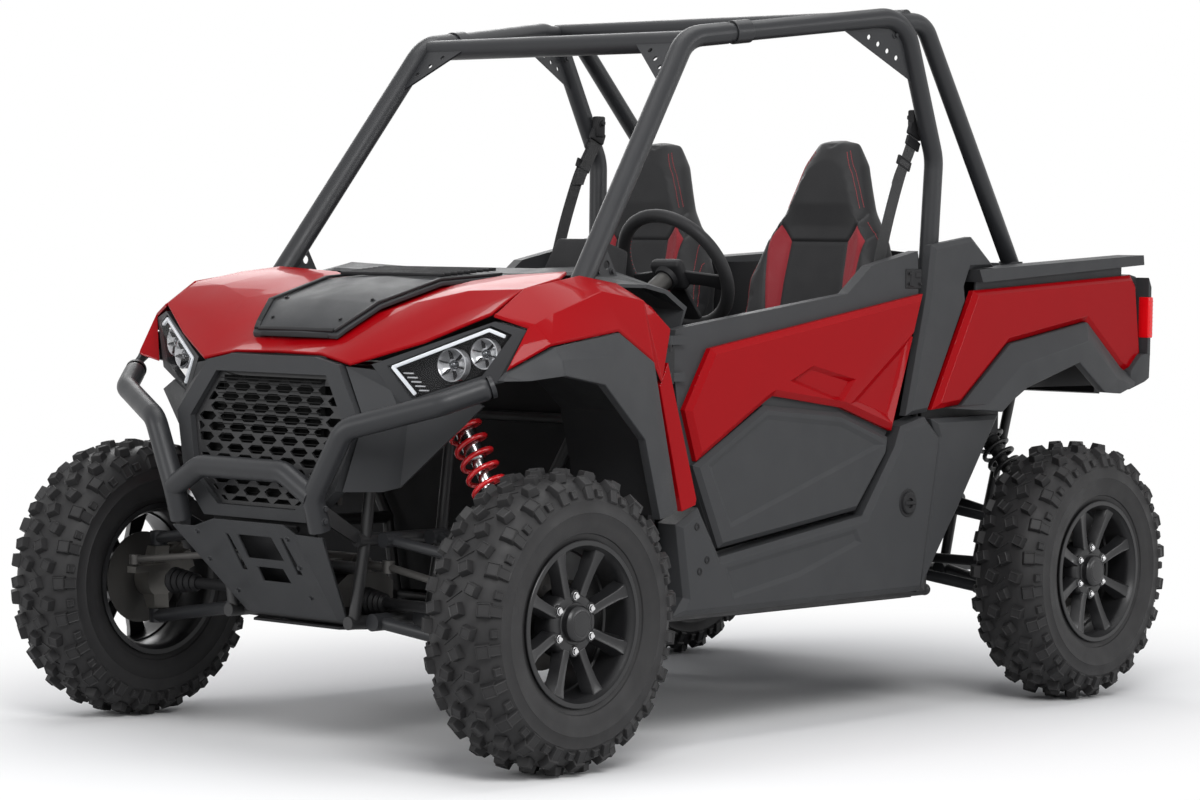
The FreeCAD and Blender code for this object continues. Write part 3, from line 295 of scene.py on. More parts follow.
# %% Flat outlines: distance from a line, and whether a point is inside
def off_segment(p, a, b):
    """Distance of a flat point from a segment."""
    ab = b - a
    k = max(0.0, min(1.0, (p - a).dot(ab) / ab.length_squared))
    return (p - a - ab * k).length


def within(p, outline):
    """Is a flat point inside an outline?"""
    inside = False
    for a, b in zip(outline, outline[1:] + outline[:1]):
        if (a.y > p.y) != (b.y > p.y) and p.x < (b.x - a.x) * (p.y - a.y) / (b.y - a.y) + a.x:
            inside = not inside
    return inside


print("helpers ready")

# %% [markdown]
# ## Surface effects shared by several materials
#
# Grain, a cloudy change of tone and a woven pattern each turn up in several materials, so each is a shader
# node group that is built once. A group only puts out colours, values and normals. The shader itself stays
# in the material. The patterns read Object coordinates, which are metres here, so a scale of 2500 makes
# grains about 0.4 mm across.

# %% Nodes with their inputs, and empty groups
def fill(tree, node, *feeds, **values):
    """Sets or links a node's inputs, by name or in order, and sets its properties."""
    for key, value in [*values.items(), *enumerate(feeds)]:
        label = key.replace("_", " ") if isinstance(key, str) else key
        if isinstance(label, str) and label not in node.inputs:
            setattr(node, key, value)
        elif isinstance(value, bpy.types.NodeSocket):
            tree.links.new(value, node.inputs[label])
        else:
            node.inputs[label].default_value = value
    return node


def add(tree, kind, *feeds, **values):
    """A new node of that kind, filled in."""
    return fill(tree, tree.nodes.new(kind), *feeds, **values)


SOCKETS = {"Color": "NodeSocketColor", "Other": "NodeSocketColor", "Normal": "NodeSocketVector"}


def new_group(name, inputs, outputs):
    """A shader group with named sockets, and the sockets that bring its inputs in."""
    group = bpy.data.node_groups.new(name, "ShaderNodeTree")
    for label, value in inputs.items():
        kind = SOCKETS.get(label, "NodeSocketFloat")
        socket = group.interface.new_socket(name=label, in_out="INPUT", socket_type=kind)
        if value is not None:
            socket.default_value = value
    for label in outputs:
        kind = SOCKETS.get(label, "NodeSocketFloat")
        group.interface.new_socket(name=label, in_out="OUTPUT", socket_type=kind)
    return group, group.nodes.new("NodeGroupInput").outputs


# %% Grain, tone and weave
def grain_group():
    """Fine moulded or sprayed grain: a normal, and a roughness that wanders a little."""
    group, given = new_group("fine grain", {"Scale": 2500.0, "Depth": 0.2, "Roughness": 0.5, "Wander": 0.1},
                             ["Normal", "Roughness"])
    place = add(group, "ShaderNodeTexCoord").outputs["Object"]
    fine = add(group, "ShaderNodeTexNoise", Vector=place, Scale=given["Scale"], Detail=3.0, Roughness=0.6)
    bump = add(group, "ShaderNodeBump", Distance=0.0004, Height=fine.outputs["Fac"], Strength=given["Depth"])
    broad = add(group, "ShaderNodeTexNoise", Vector=place, Scale=14.0, Detail=4.0)
    low, high = (add(group, "ShaderNodeMath", given["Roughness"], given["Wander"], operation=way)
                 for way in ("SUBTRACT", "ADD"))
    ramp = add(group, "ShaderNodeMapRange", Value=broad.outputs["Fac"], From_Min=0.3, From_Max=0.7,
               To_Min=low.outputs[0], To_Max=high.outputs[0])
    add(group, "NodeGroupOutput", Normal=bump.outputs["Normal"], Roughness=ramp.outputs["Result"])
    return group


def tone_group():
    """A colour that drifts towards a second one in soft clouds."""
    group, given = new_group("cloudy tone", {"Color": None, "Other": None, "Scale": 9.0, "Amount": 0.4},
                             ["Color"])
    place = add(group, "ShaderNodeTexCoord").outputs["Object"]
    cloud = add(group, "ShaderNodeTexNoise", Vector=place, Scale=given["Scale"], Detail=5.0, Roughness=0.6)
    share = add(group, "ShaderNodeMath", cloud.outputs["Fac"], given["Amount"], operation="MULTIPLY")
    mix = add(group, "ShaderNodeMix", data_type="RGBA", Factor=share.outputs[0], A=given["Color"],
              B=given["Other"])
    add(group, "NodeGroupOutput", Color=mix.outputs["Result"])
    return group


def weave_group():
    """Crossed threads: fine bands along two directions, added up as a height."""
    group, given = new_group("crossed threads", {"Threads": 1000.0, "Relief": 0.5}, ["Normal"])
    place = add(group, "ShaderNodeTexCoord").outputs["Object"]
    along, up = (add(group, "ShaderNodeTexWave", wave_type="BANDS", bands_direction=axis, Distortion=0.4,
                     Vector=place, Scale=given["Threads"]) for axis in "YZ")
    both = add(group, "ShaderNodeMath", along.outputs["Fac"], up.outputs["Fac"], operation="ADD")
    bump = add(group, "ShaderNodeBump", Distance=0.0005, Height=both.outputs[0], Strength=given["Relief"])
    add(group, "NodeGroupOutput", Normal=bump.outputs["Normal"])
    return group


GRAIN = grain_group()
WEAVE = weave_group()
TONE = tone_group()
print("groups:", GRAIN.name, WEAVE.name, TONE.name)

# %% [markdown]
# ## The finishes
#
# Most finishes differ only in colour, grain and gloss, so one function builds them from those values. The
# red paint is a deep base under a thin clear coat. Pale surroundings would wash it out, so the base hardly
# shines by itself and the coat alone carries the sharp reflections. The dark body plastic is moulded with a
# fine grain that spreads the light, and the tubes are powder coated: smoother, but slightly pebbled.

# %% A function for painted, moulded and metal finishes
def principled(name):
    """A new material, its node tree and its shader."""
    material = bpy.data.materials.new(name)
    material.use_nodes = True
    return material, material.node_tree, material.node_tree.nodes["Principled BSDF"]


def finish(name, color, other, rough, wander=0.08, grain=2500.0, depth=0.25, amount=0.5, cloud=9.0,
           metallic=0.0, coat=0.0, coat_rough=0.05, sheen=0.0, specular=0.5):
    """A grained finish whose colour drifts towards another one."""
    material, tree, shader = principled(name)
    material.diffuse_color = (*color, 1)
    tone = add(tree, "ShaderNodeGroup", node_tree=TONE, Color=(*color, 1), Other=(*other, 1), Scale=cloud,
               Amount=amount)
    skin = add(tree, "ShaderNodeGroup", node_tree=GRAIN, Scale=grain, Depth=depth, Roughness=rough,
               Wander=wander)
    fill(tree, shader, Base_Color=tone.outputs["Color"], Roughness=skin.outputs["Roughness"],
         Normal=skin.outputs["Normal"], Metallic=metallic, Coat_Weight=coat, Coat_Roughness=coat_rough,
         Sheen_Weight=sheen, Specular_IOR_Level=specular)
    return material


# %% Woven finishes
def woven(name, color, other, rough, threads, relief, **more):
    """A finish whose normal comes from crossed threads, as webbing and seat cloth have."""
    material = finish(name, color, other, rough, **more)
    tree = material.node_tree
    weave = add(tree, "ShaderNodeGroup", node_tree=WEAVE, Threads=threads, Relief=relief)
    fill(tree, tree.nodes["Principled BSDF"], Normal=weave.outputs["Normal"])
    return material


# %% The materials by name
candy_red = finish("candy red paint", (0.29, 0.0008, 0.0035), (0.21, 0.0004, 0.002), 0.38, wander=0.03,
                   grain=9000.0, depth=0.05, amount=0.3, coat=0.19, coat_rough=0.03, specular=0.02)
body_plastic = finish("moulded dark plastic", (0.038, 0.039, 0.041), (0.028, 0.029, 0.031), 0.5, wander=0.06,
                      grain=1900.0, depth=0.5, specular=0.18)
black_plastic = finish("black plastic", (0.012, 0.012, 0.013), (0.018, 0.018, 0.019), 0.55, depth=0.35,
                       specular=0.2)
powder_coat = finish("satin powder coat", (0.022, 0.023, 0.025), (0.016, 0.016, 0.018), 0.4, wander=0.05,
                     grain=1400.0, depth=0.22, specular=0.3)
chassis_paint = finish("chassis paint", (0.012, 0.012, 0.013), (0.02, 0.02, 0.02), 0.45)
tyre_rubber = finish("tread rubber", (0.011, 0.011, 0.012), (0.022, 0.021, 0.021), 0.58, wander=0.1,
                     grain=900.0, depth=0.5, amount=0.8, cloud=30.0, specular=0.32)
rim_black = finish("satin black alloy", (0.011, 0.011, 0.012), (0.017, 0.017, 0.018), 0.33, wander=0.05,
                   grain=5000.0, depth=0.08, metallic=0.2)
cast_alloy = finish("cast alloy", (0.30, 0.29, 0.27), (0.16, 0.15, 0.14), 0.45, grain=1500.0, depth=0.4,
                    metallic=0.9)
dark_casting = finish("dark casting", (0.06, 0.058, 0.055), (0.10, 0.095, 0.09), 0.5, grain=1300.0, depth=0.5,
                      metallic=0.6)
spring_red = finish("red spring coat", (0.62, 0.008, 0.012), (0.45, 0.005, 0.01), 0.28, wander=0.04,
                    grain=3000.0, depth=0.08, coat=0.5)
chrome = finish("bright chrome", (0.72, 0.72, 0.73), (0.6, 0.6, 0.6), 0.14, wander=0.04, depth=0.03,
                metallic=1.0)
black_vinyl = finish("black vinyl", (0.014, 0.014, 0.015), (0.022, 0.022, 0.023), 0.52,
                     grain=1100.0, depth=0.45, sheen=0.05, specular=0.22)
red_cloth = woven("red insert cloth", (0.26, 0.012, 0.02), (0.19, 0.008, 0.014), 0.5, threads=900.0,
                  relief=0.35, wander=0.08, sheen=0.1, specular=0.25)
webbing = woven("seat belt webbing", (0.014, 0.014, 0.015), (0.024, 0.024, 0.024), 0.7, threads=1300.0,
                relief=0.8, sheen=0.2, specular=0.2)
tail_red = finish("tail lamp red", (0.75, 0.004, 0.008), (0.5, 0.0, 0.004), 0.2, grain=600.0, depth=0.3,
                  coat=0.35, specular=0.2)
bright_alloy = finish("bright shock body", (0.55, 0.55, 0.56), (0.4, 0.4, 0.41), 0.2, wander=0.05, depth=0.05,
                      metallic=1.0)
# near-black, for the radiator's fins and tubes and for the plate of painted shade behind the grille
fins_and_shade_black = finish("radiator fins and painted shade", (0.006, 0.006, 0.006), (0.010, 0.010, 0.010), 0.6, depth=0.3,
                   specular=0.1)
grille_black = finish("grille black", (0.016, 0.016, 0.017), (0.022, 0.022, 0.023), 0.42, depth=0.3,
                      specular=0.4)
display_glass = finish("dark display", (0.006, 0.008, 0.010), (0.012, 0.014, 0.016), 0.08, wander=0.02,
                       depth=0.0, coat=1.0)
lamp_silver = finish("lamp reflector", (0.70, 0.71, 0.73), (0.55, 0.56, 0.58), 0.22, wander=0.06, grain=900.0,
                     depth=0.05, metallic=0.55, coat=0.6)
lamp_eye = finish("projector lens", (0.10, 0.11, 0.12), (0.05, 0.05, 0.06), 0.06, wander=0.02, depth=0.0,
                  metallic=0.6, coat=1.0)
light_white = finish("light bar", (0.85, 0.87, 0.90), (0.75, 0.78, 0.82), 0.3, wander=0.05, depth=0.05)
fill(light_white.node_tree, light_white.node_tree.nodes["Principled BSDF"],
     Emission_Color=(0.9, 0.95, 1.0, 1), Emission_Strength=0.22)
red_thread = finish("red thread", (0.42, 0.02, 0.03), (0.3, 0.01, 0.02), 0.6, grain=6000.0, depth=0.3)

# %% The clear cover of a lamp
def clear(name):
    """Clear moulded plastic with the faintest ripple, thin enough that light goes straight through."""
    material, tree, shader = principled(name)
    skin = add(tree, "ShaderNodeGroup", node_tree=GRAIN, Scale=60.0, Depth=0.02, Roughness=0.03, Wander=0.01)
    fill(tree, shader, Base_Color=(0.03, 0.03, 0.032, 1), Alpha=0.10, Roughness=skin.outputs["Roughness"],
         Normal=skin.outputs["Normal"])
    return material


clear_cover = clear("clear lamp cover")
print("finishes:", len(bpy.data.materials))

# %% [markdown]
# ## Tyres
#
# The tyre is an all terrain one: a round carcass with separate rubber blocks far apart, so that mud falls
# out between them. The blocks of the left and right halves are staggered by half a pitch. A texture could
# fake them, but they stand 16 mm proud and shape the outline of the wheel, so they are real geometry. One
# pitch is modelled, 22 copies of it are spun round the axle, and the same tyre is placed four times.

# %% The carcass, turned from a round profile
LUGS = 22
PITCH = 2 * math.pi / LUGS


def carcass():
    """Half of the section as (x, radius), mirrored and closed inside, with a raised band on the side wall."""
    half = [(0, 338.5), (30, 338), (57, 335), (80, 325), (97, 308), (106, 290), (108, 287), (107.5, 284),
            (110, 262), (111.5, 259), (109.5, 256), (107, 236), (102, 214), (100.5, 211), (97, 209.5),
            (93, 198), (88, 184)]
    outer = [(r, -x) for x, r in reversed(half[1:])] + [(r, x) for x, r in half]
    outline = outer + [(179.5, 87), (179.5, -87)]
    part = turned(mm(outline + outline[:1]), 88)
    part.transform(OUTWARD)
    return part


# %% One tread block, and the blocks of one pitch
def block(bm, x, r, wide, long, high, slant=0.0, turn=0.0, twist=0.0, dish=0.0022):
    """A tread block: x across the tyre, r from the axle to its top, leaning out by slant degrees."""
    part = cube((wide / 1000, long / 1000, high / 1000))
    bmesh.ops.scale(part, vec=(0.8, 0.8, 1), verts=[v for v in part.verts if v.co.z > 0])
    bevelled(part, 0.0012, 1, 40)
    part.normal_update()
    crown = [f for f in part.faces if f.normal.z > 0.9]
    bmesh.ops.inset_individual(part, faces=crown, thickness=0.0028, depth=0.0)
    bmesh.ops.translate(part, verts=list({v for f in crown for v in f.verts}), vec=(0, 0, -dish))
    sit = (Matrix.Rotation(turn, 4, "X") @ moved((x / 1000, 0, (r - high / 2) / 1000))
           @ rotated(slant, "Y") @ rotated(twist, "Z"))
    join(bm, part, sit)


def side_of_pitch():
    """The blocks of one pitch on the outer half: centre, middle, wide shoulder and thin side lugs."""
    bm = bmesh.new()
    block(bm, 19, 356, 33, 34, 21, twist=24)
    block(bm, 55, 353.5, 34, 32, 21, slant=7, turn=0.14, twist=-16)
    block(bm, 85, 337, 38, 38, 24, slant=36, turn=-0.02, twist=4)
    block(bm, 100.5, 313, 42, 30, 15, slant=70, turn=-0.02, dish=0.0012)
    block(bm, 103.5, 309, 22, 22, 9, slant=70, turn=0.145, dish=0.0015)
    return bm


def tread():
    """Both halves of one pitch, staggered, with small ribs in the gaps, spun round the axle."""
    bm = side_of_pitch()
    join(bm, side_of_pitch(), Matrix.Rotation(PITCH / 2, 4, "X") @ MIRROR)
    for turn in (0.5, 1.0):
        rib = cube((0.05, 0.004, 0.005), 0.001)
        join(bm, rib, Matrix.Rotation(PITCH * turn + 0.05, 4, "X") @ moved((0, 0, 0.3385))
             @ rotated(35, "Z"))
    bmesh.ops.spin(bm, geom=list(bm.verts) + list(bm.edges) + list(bm.faces), cent=(0, 0, 0), axis=(1, 0, 0),
                   angle=PITCH * (LUGS - 1), steps=LUGS - 1, use_duplicate=True)
    return bm


def copy_of(mesh, place):
    """A mesh's copy at a place, with its faces looking out even when that mirrors it."""
    bm = opened(mesh)
    bm.transform(place)
    if place.determinant() < 0:
        bmesh.ops.reverse_faces(bm, faces=bm.faces)
    return bm


tyre = carcass()
join(tyre, tread())
TYRE_MESH = stored("tyre", tyre)
print("tyre faces:", len(TYRE_MESH.polygons))

# %% [markdown]
# ## Rims
#
# Eight broad spokes run from a deep hub to the lip of the rim. Each is a box whose outer face is narrowed
# and dished, and eight of them are set round the axle. The six nuts are bright, and the brake disc
# behind them shows through the windows. Only the barrel, the hub and the cap are turned parts.

# %% The barrel, the spokes and the hub
def spoke():
    """One spoke along Z, wider and further out towards the rim, with its outer face sunk."""
    part = bmesh.new()
    bmesh.ops.create_cube(part, size=1.0)
    along = [e for e in part.edges if abs((e.verts[0].co - e.verts[1].co).z) > 0.5]
    bmesh.ops.subdivide_edges(part, edges=along, cuts=3, use_grid_fill=True)
    for v in part.verts:
        k = v.co.z + 0.5                      # 0 at the hub, 1 at the rim
        wide = 0.030 + 0.004 * k + 0.014 * max(0, k - 0.7) / 0.3
        top = v.co.x > 0
        v.co.y *= wide * (0.74 if top else 1.25)
        v.co.z = 0.066 + 0.112 * k
        v.co.x = (0.073 + 0.016 * k ** 1.5) if top else (0.040 + 0.022 * k)
    bevelled(part, 0.0022, 2, 28)
    part.normal_update()
    face = [f for f in part.faces if f.normal.x > 0.85 and f.calc_area() > 1e-4]
    bmesh.ops.inset_region(part, faces=face, thickness=0.0045, depth=-0.0016, use_even_offset=True)
    return part


# outlines as (radius, distance outwards), in millimetres and for the nuts in metres
BARREL = [(183, 101), (193.5, 101), (195, 99.5), (195, 96), (190, 93), (181, 89), (181, -89), (195, -96),
          (195, -101), (183, -101), (178, -92), (172, -80), (172, 0), (168, 4), (168, 12), (172, 16),
          (172, 70), (174, 84), (180, 93), (183, 101)]
BORE = 20.06                                   # radius of the hole that the spindle goes through
HUB = [(BORE, 20), (82, 20), (80, 52), (76, 64), (70, 70.5), (62, 72), (50, 72), (48, 74), (BORE, 74),
       (BORE, 20)]
CAP = [(0, 74), (43, 74), (43, 86), (40.5, 90), (35, 94), (31, 95), (29.5, 94.2), (28, 94.2), (26.5, 95.2),
       (0, 97)]
DISC = [(BORE, 19), (50, 19), (54, -24), (112, -24), (118, -27), (118, -29), (112, -30), (50, -30),
        (BORE, -30), (BORE, 19)]
NUT = [(0, 0.0835), (0.0035, 0.083), (0.0075, 0.080), (0.0082, 0.0755), (0.0095, 0.0755), (0.0095, 0.070)]
WELL = [(0.0105, 0.0738), (0.0125, 0.0742), (0.0145, 0.0725), (0.0145, 0.068)]


def rim():
    """Barrel, spokes, hub with cap, nuts in their wells, and the brake disc with its holes."""
    bm = turned(mm(BARREL), 88)
    bm.transform(OUTWARD)
    for i in range(8):
        join(bm, spoke(), rotated(45 * i + 22.5, "X"), 0)
    hub = turned(mm(HUB), 48)
    join(hub, turned(mm(CAP), 36))
    join(bm, hub, OUTWARD, 0)
    for i in range(6):
        place = rotated(60 * i, "X") @ moved((0, 0, 0.064)) @ OUTWARD
        join(bm, turned(NUT, 12), place, 1)
        join(bm, turned(WELL, 18), place, 0)
    join(bm, turned(mm(DISC), 48), OUTWARD, 2)
    for i in range(12):
        hole = turned([(0, 0.0006), (0.006, 0.0006), (0.0065, 0)], 8)
        far = 0.094 if i % 2 else 0.076
        join(bm, hole, rotated(30 * i, "X") @ moved((-0.024, 0, far)) @ OUTWARD, 0)
    return bm


RIM_MESH = stored("rim", rim())
print("rim faces:", len(RIM_MESH.polygons))

# %% Four wheels
for corner in ("front_left", "front_right", "rear_left", "rear_right"):
    low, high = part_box("tyre_" + corner)
    middle = moved([(a + b) / 2 for a, b in zip(low, high)])
    flip = Matrix() if corner.endswith("left") else MIRROR
    for kind, mesh, look in (("tyre", TYRE_MESH, tyre_rubber),
                             ("rim", RIM_MESH, [rim_black, chrome, dark_casting])):
        node = kind + "_" + corner
        made = piece(node + "_detail", copy_of(mesh, middle @ flip), body_of[node], look, angle=28)
        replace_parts(made, node)
print("wheels placed")

# %% Paint the pieces whose shape stays
PAINT = {
    "roll_cage": powder_coat, "bumper": powder_coat, "frame": chassis_paint, "front_frame": chassis_paint,
    "rear_frame": chassis_paint, "hinge_posts": black_plastic, "suspension_arms": powder_coat,
    "shocks": bright_alloy, "front_springs": spring_red, "rear_springs": chassis_paint,
    "rear_knuckles": cast_alloy, "knuckle_left": cast_alloy, "knuckle_right": cast_alloy,
    "tie_rods": dark_casting, "steering_gear": dark_casting, "half_shafts": black_plastic,
    "drivetrain": dark_casting, "belly_pan": black_plastic, "floor_tub": black_plastic,
    "bulkhead": black_plastic, "grille": black_plastic, "arch_liners": black_plastic,
    "steering_wheel": black_vinyl, "seat_backs": black_vinyl, "seat_cushions": black_vinyl,
    "seat_belts": webbing, "headlamps": chrome, "tail_lamps": tail_red, "rear_valance": black_plastic,
    "dash": body_plastic, "bed": black_plastic,
}
PAINT.update({name: tyre_rubber for name in nodes if name.startswith("tyre")})
PAINT.update({name: rim_black for name in nodes if name.startswith("rim")})
for name, obj in nodes.items():
    obj.data.materials.clear()
    obj.data.materials.append(PAINT.get(name, body_plastic))
print("painted", len(nodes), "construction pieces")

# %% [markdown]
# ## Panels
#
# The red panels are thin thermoplastic under a clear coat, and the dark ones are moulded in their colour.
# On the doors, pressed fields give the flat sheet some spring: a long diagonal step and a pocket under it.
# Such a field is cut into the flat outer face along its edges, and then the region is inset and pushed in,
# which leaves a sloping band all round it.

# %% A pressed field in a flat outer face
def carve(bm, side, outline, slope, deep):
    """Sinks a convex field of (y, z) points in the face that looks out on that side."""
    flat = [Vector((FRONT_AXLE + y / 1000, z / 1000)) for y, z in outline]
    middle = sum(flat, Vector((0, 0))) / len(flat)

    def under():
        """The outermost flat face that the field's middle lies on."""
        found = [f for f in bm.faces
                 if f.normal.x * side > 0.98 and within(middle, [v.co.yz for v in f.verts])]
        return max(found, key=lambda f: f.calc_center_median().x * side)

    for a, b in zip(flat, flat[1:] + flat[:1]):
        f = under()
        x = f.verts[0].co.x
        bmesh.ops.bisect_plane(bm, geom=[f] + list(f.edges) + list(f.verts), dist=1e-6,
                               plane_co=(x, a.x, a.y), plane_no=(0, (b - a).y, -(b - a).x))
    bmesh.ops.inset_region(bm, faces=[under()], thickness=slope, depth=-deep, use_even_offset=True,
                           use_boundary=True)


def pressed(node, material, fields):
    """A construction panel with pressed fields and rounded edges, standing for it."""
    bm = merged(node)
    for side in {"left": (1,), "right": (-1,)}.get(node.split("_")[-1], (1, -1)):
        for outline, slope, deep in fields:
            carve(bm, side, outline, slope, deep)
    obj = piece(node + "_finish", bm, body_of[node], material)
    round_edges(obj, 0.003, 3, 14)
    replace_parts(obj, node)


# %% Doors, rockers and the other panels
for hand in ("left", "right"):
    pressed("door_panel_" + hand, candy_red, [
        ([(1488, 1016), (1401, 776), (1212, 828)], 0.020, 0.012),
        ([(896, 868), (1058, 934), (1240, 896), (1186, 840)], 0.010, 0.011)])
    pressed("door_" + hand, body_plastic, [
        ([(648, 692), (880, 812), (1190, 786), (1378, 722), (740, 532)], 0.012, 0.004)])
pressed("side_trims", body_plastic, [
    ([(705, 436), (1236, 508), (1262, 470), (1000, 396), (735, 356)], 0.012, 0.005)])
for name in ("hood", "front_fenders", "quarter_panels"):
    rounded(name, 0.004, candy_red, segments=3)
for name in ("hood_cover", "front_flares", "fascia", "front_skid", "rear_flares", "bed_rails", "tailgate",
             "rear_corners"):
    rounded(name, 0.004, body_plastic, segments=3)

# %% [markdown]
# ## Trim on the sides
#
# Three screws hold the plate at the front of each rocker, a round filler cap sits under the left door's rear
# edge, and each door's latch shows at its upper rear corner. These are small turned and boxed parts set on
# the panels. A few plain dark plates behind the nose and the doors are painted shade: they close seams that
# would show daylight, and stand for the shadow that the vehicle shows there.

# %% Dark plates of painted shade in the seams
# painted shade: plain dark plates in the seams, where the vehicle shows only shadow
shade_plates = bmesh.new()
for s in (-1, 1):
    join(shade_plates, cube((0.006, 0.36, 0.13), 0.002), moved(at(s * 622, 1762, 800)))
    join(shade_plates, cube((0.004, 0.10, 0.09), 0.001), moved(at(s * 652, 470, 940)))
join(shade_plates, cube((0.34, 0.05, 0.040), 0.004), moved(at(0, -168, 938)))
join(shade_plates, cube((0.36, 0.010, 0.075), 0.003), moved(at(0, -226, 562)))
nose_shade_plate = cube((0.25, 0.006, 0.25), 0.003)
join(shade_plates, nose_shade_plate, moved(at(0, -166, 450)) @ rotated(36, "X"))
piece("painted_shade_panels", shade_plates, body_of["fascia"], black_plastic)


# %% Screws, filler cap and door latch
ROCKER_FACE = 676.0
LATCH_FACE = 638.0
FILLER = (1459, 566)                           # station and height of the filler cap


def facing(side):
    """Turns a part made along Z to look out from a side of the vehicle."""
    return rotated(side * 90, "Y")


def side_trim(side):
    """The rocker's screws, and the filler cap on the left."""
    bm = bmesh.new()
    for y, z in ((589, 544), (630, 460), (602, 433)):
        screw = turned([(0, -0.001), (0.0035, -0.001), (0.0045, 0.0015), (0.0065, 0.0015), (0.0075, 0.0022),
                        (0.009, 0.0018), (0.0098, 0)], 20)
        join(bm, screw, moved(at(side * ROCKER_FACE, y, z)) @ facing(side), 0)
    if side > 0:
        cap = turned([(0, 0.004), (0.012, 0.004), (0.014, 0.009), (0.026, 0.0095), (0.029, 0.007),
                      (0.030, 0.002), (0.036, 0.002), (0.038, 0.0)], 40)
        place = moved(at(ROCKER_FACE, *FILLER)) @ facing(side)
        join(bm, cap, place, 0)
        join(bm, cube((0.010, 0.048, 0.006), 0.002), place @ moved((0, 0, 0.009)), 0)
    return bm


for side, hand in HANDS:
    piece("rocker_screws_" + hand, side_trim(side), body_of["side_trims"], black_plastic)
    latch = bmesh.new()
    for size, edge, out, y, z in (((0.006, 0.070, 0.052), 0.002, 0, 1516, 1158),
                                  ((0.005, 0.016, 0.044), 0.003, 2.5, 1508, 1158),
                                  ((0.005, 0.026, 0.018), 0.003, 2.5, 1534, 1168)):
        join(latch, cube(size, edge), moved(at(side * (LATCH_FACE + out), y, z)), 0)
    for y, z in ((1494, 1172), (1494, 1144), (1542, 1144)):
        bolt(latch, at(side * (LATCH_FACE + 3), y, z), Vector((side, 0, 0)), 0.0042)
    piece("door_latch_" + hand, latch, body_of["door_" + hand], black_plastic)
print("doors and trim done")

# %% [markdown]
# ## Seats
#
# Each bucket seat is foam under vinyl: the sides stand proud and hold the driver, the middle is sunk, and
# long red inserts run between them. The construction has them as plain faceted blocks. Here such a block is
# remeshed to small even faces, its middle is pressed in, and a cloth simulation blows it up like a cushion,
# with a limit on how far a point may go. The seams come after that, because a remesh would swallow them:
# the mesh is cut along each seam, the cut is sunk, and the faces between seams get their own vinyl.

# %% Blow up a block into a cushion
SEAT_X = 318.0


def result_of(obj):
    """The mesh that an object's modifiers make."""
    return bpy.data.meshes.new_from_object(obj.evaluated_get(bpy.context.evaluated_depsgraph_get()))


def soft_block(node, press):
    """The left cushion of a construction node, remeshed and pressed into shape by the given function."""
    bm = opened(nodes[node].data)
    bmesh.ops.remove_doubles(bm, verts=bm.verts, dist=2e-5)
    bmesh.ops.delete(bm, geom=[v for v in bm.verts if v.co.x < 0], context="VERTS")
    bmesh.ops.dissolve_limit(bm, angle_limit=FLAT_ENOUGH, verts=bm.verts, edges=bm.edges)
    bevelled(bm, 0.016, 3, 25)
    obj = linked(node + "_form", stored(node, bm))
    remesh = obj.modifiers.new("even faces", "REMESH")
    remesh.mode = "VOXEL"
    remesh.voxel_size = 0.006
    bpy.context.view_layer.update()
    even = result_of(obj)
    obj.modifiers.clear()
    obj.data = even
    lowest = min(v.co.z for v in even.vertices)
    bm = opened(even)
    for v in bm.verts:
        v.co += press(v.co, v.normal)
    for _ in range(6):
        bmesh.ops.smooth_vert(bm, verts=bm.verts, factor=0.5, use_axis_x=True, use_axis_y=True,
                              use_axis_z=True)
    bm.to_mesh(even)
    bm.free()
    return obj, lowest


def blow_up(obj, lowest, cap):
    """Cloth with inner pressure, stopped after 20 frames, no point moved further than cap."""
    before = [v.co.copy() for v in obj.data.vertices]
    cloth = obj.modifiers.new("stuffing", "CLOTH")
    cloth.settings.use_pressure = True
    cloth.settings.uniform_pressure_force = 4.0
    cloth.settings.quality = 5
    cloth.settings.effector_weights.gravity = 0.0
    scene = bpy.context.scene
    for number in range(1, 21):
        scene.frame_set(number)
    blown = result_of(obj)
    scene.frame_set(1)
    obj.modifiers.clear()
    for v, was in zip(blown.vertices, before):
        step = v.co - was
        if step.length > cap:
            v.co = was + step.normalized() * cap
        v.co.z = max(v.co.z, lowest + 0.0005)
    obj.data = blown


# %% Seams: cut, sink, and colour the panels
def sew(bm, flat, facing, seams, inserts, width=0.009, depth=0.0055):
    """Cuts the faces that look along facing at each seam, sinks the cuts and marks the inserts."""
    for a, b in seams:
        bm.normal_update()
        near = [f for f in bm.faces if f.normal.dot(facing) > 0.35
                and off_segment(flat(f.calc_center_median()), a, b) < 0.007]
        geom = list({v for f in near for v in f.verts}) + list({e for f in near for e in f.edges}) + near
        start, end = flat.place(a), flat.place(b)
        bmesh.ops.bisect_plane(bm, geom=geom, dist=2e-5, plane_co=start,
                               plane_no=(end - start).cross(facing).normalized())
    bm.normal_update()
    front = [v for v in bm.verts if v.normal.dot(facing) > 0.2]
    for v in front:
        p = flat(v.co)
        d = min(off_segment(p, a, b) for a, b in seams)
        if d < width:
            v.co -= facing * depth * (1 - d / width) ** 1.5
    for f in bm.faces:
        if f.normal.dot(facing) > 0.2:
            p = flat(f.calc_center_median())
            if any(within(p, outline) for outline in inserts):
                f.material_index = 1


class Flat:
    """Seat millimetres: u from the seat's middle, and v as height (backs) or length (cushions)."""

    def __init__(self, length):
        self.length = length

    def __call__(self, co):
        return Vector((co.x - SEAT_X / 1000, co.y if self.length else co.z))

    def place(self, p):
        return Vector((p.x + SEAT_X / 1000, p.y, 0)) if self.length else Vector((p.x + SEAT_X / 1000, 0, p.y))

    def mm(self, u, v):
        return Vector((u / 1000, FRONT_AXLE + v / 1000 if self.length else v / 1000))


def both_sides(flat, lines):
    """Chains of (u, v) points as seam segments, on both sides of the seat's middle."""
    segments = []
    for line in lines:
        for s in (-1, 1):
            points = [flat.mm(s * u, v) for u, v in line]
            segments += list(zip(points, points[1:]))
    return segments


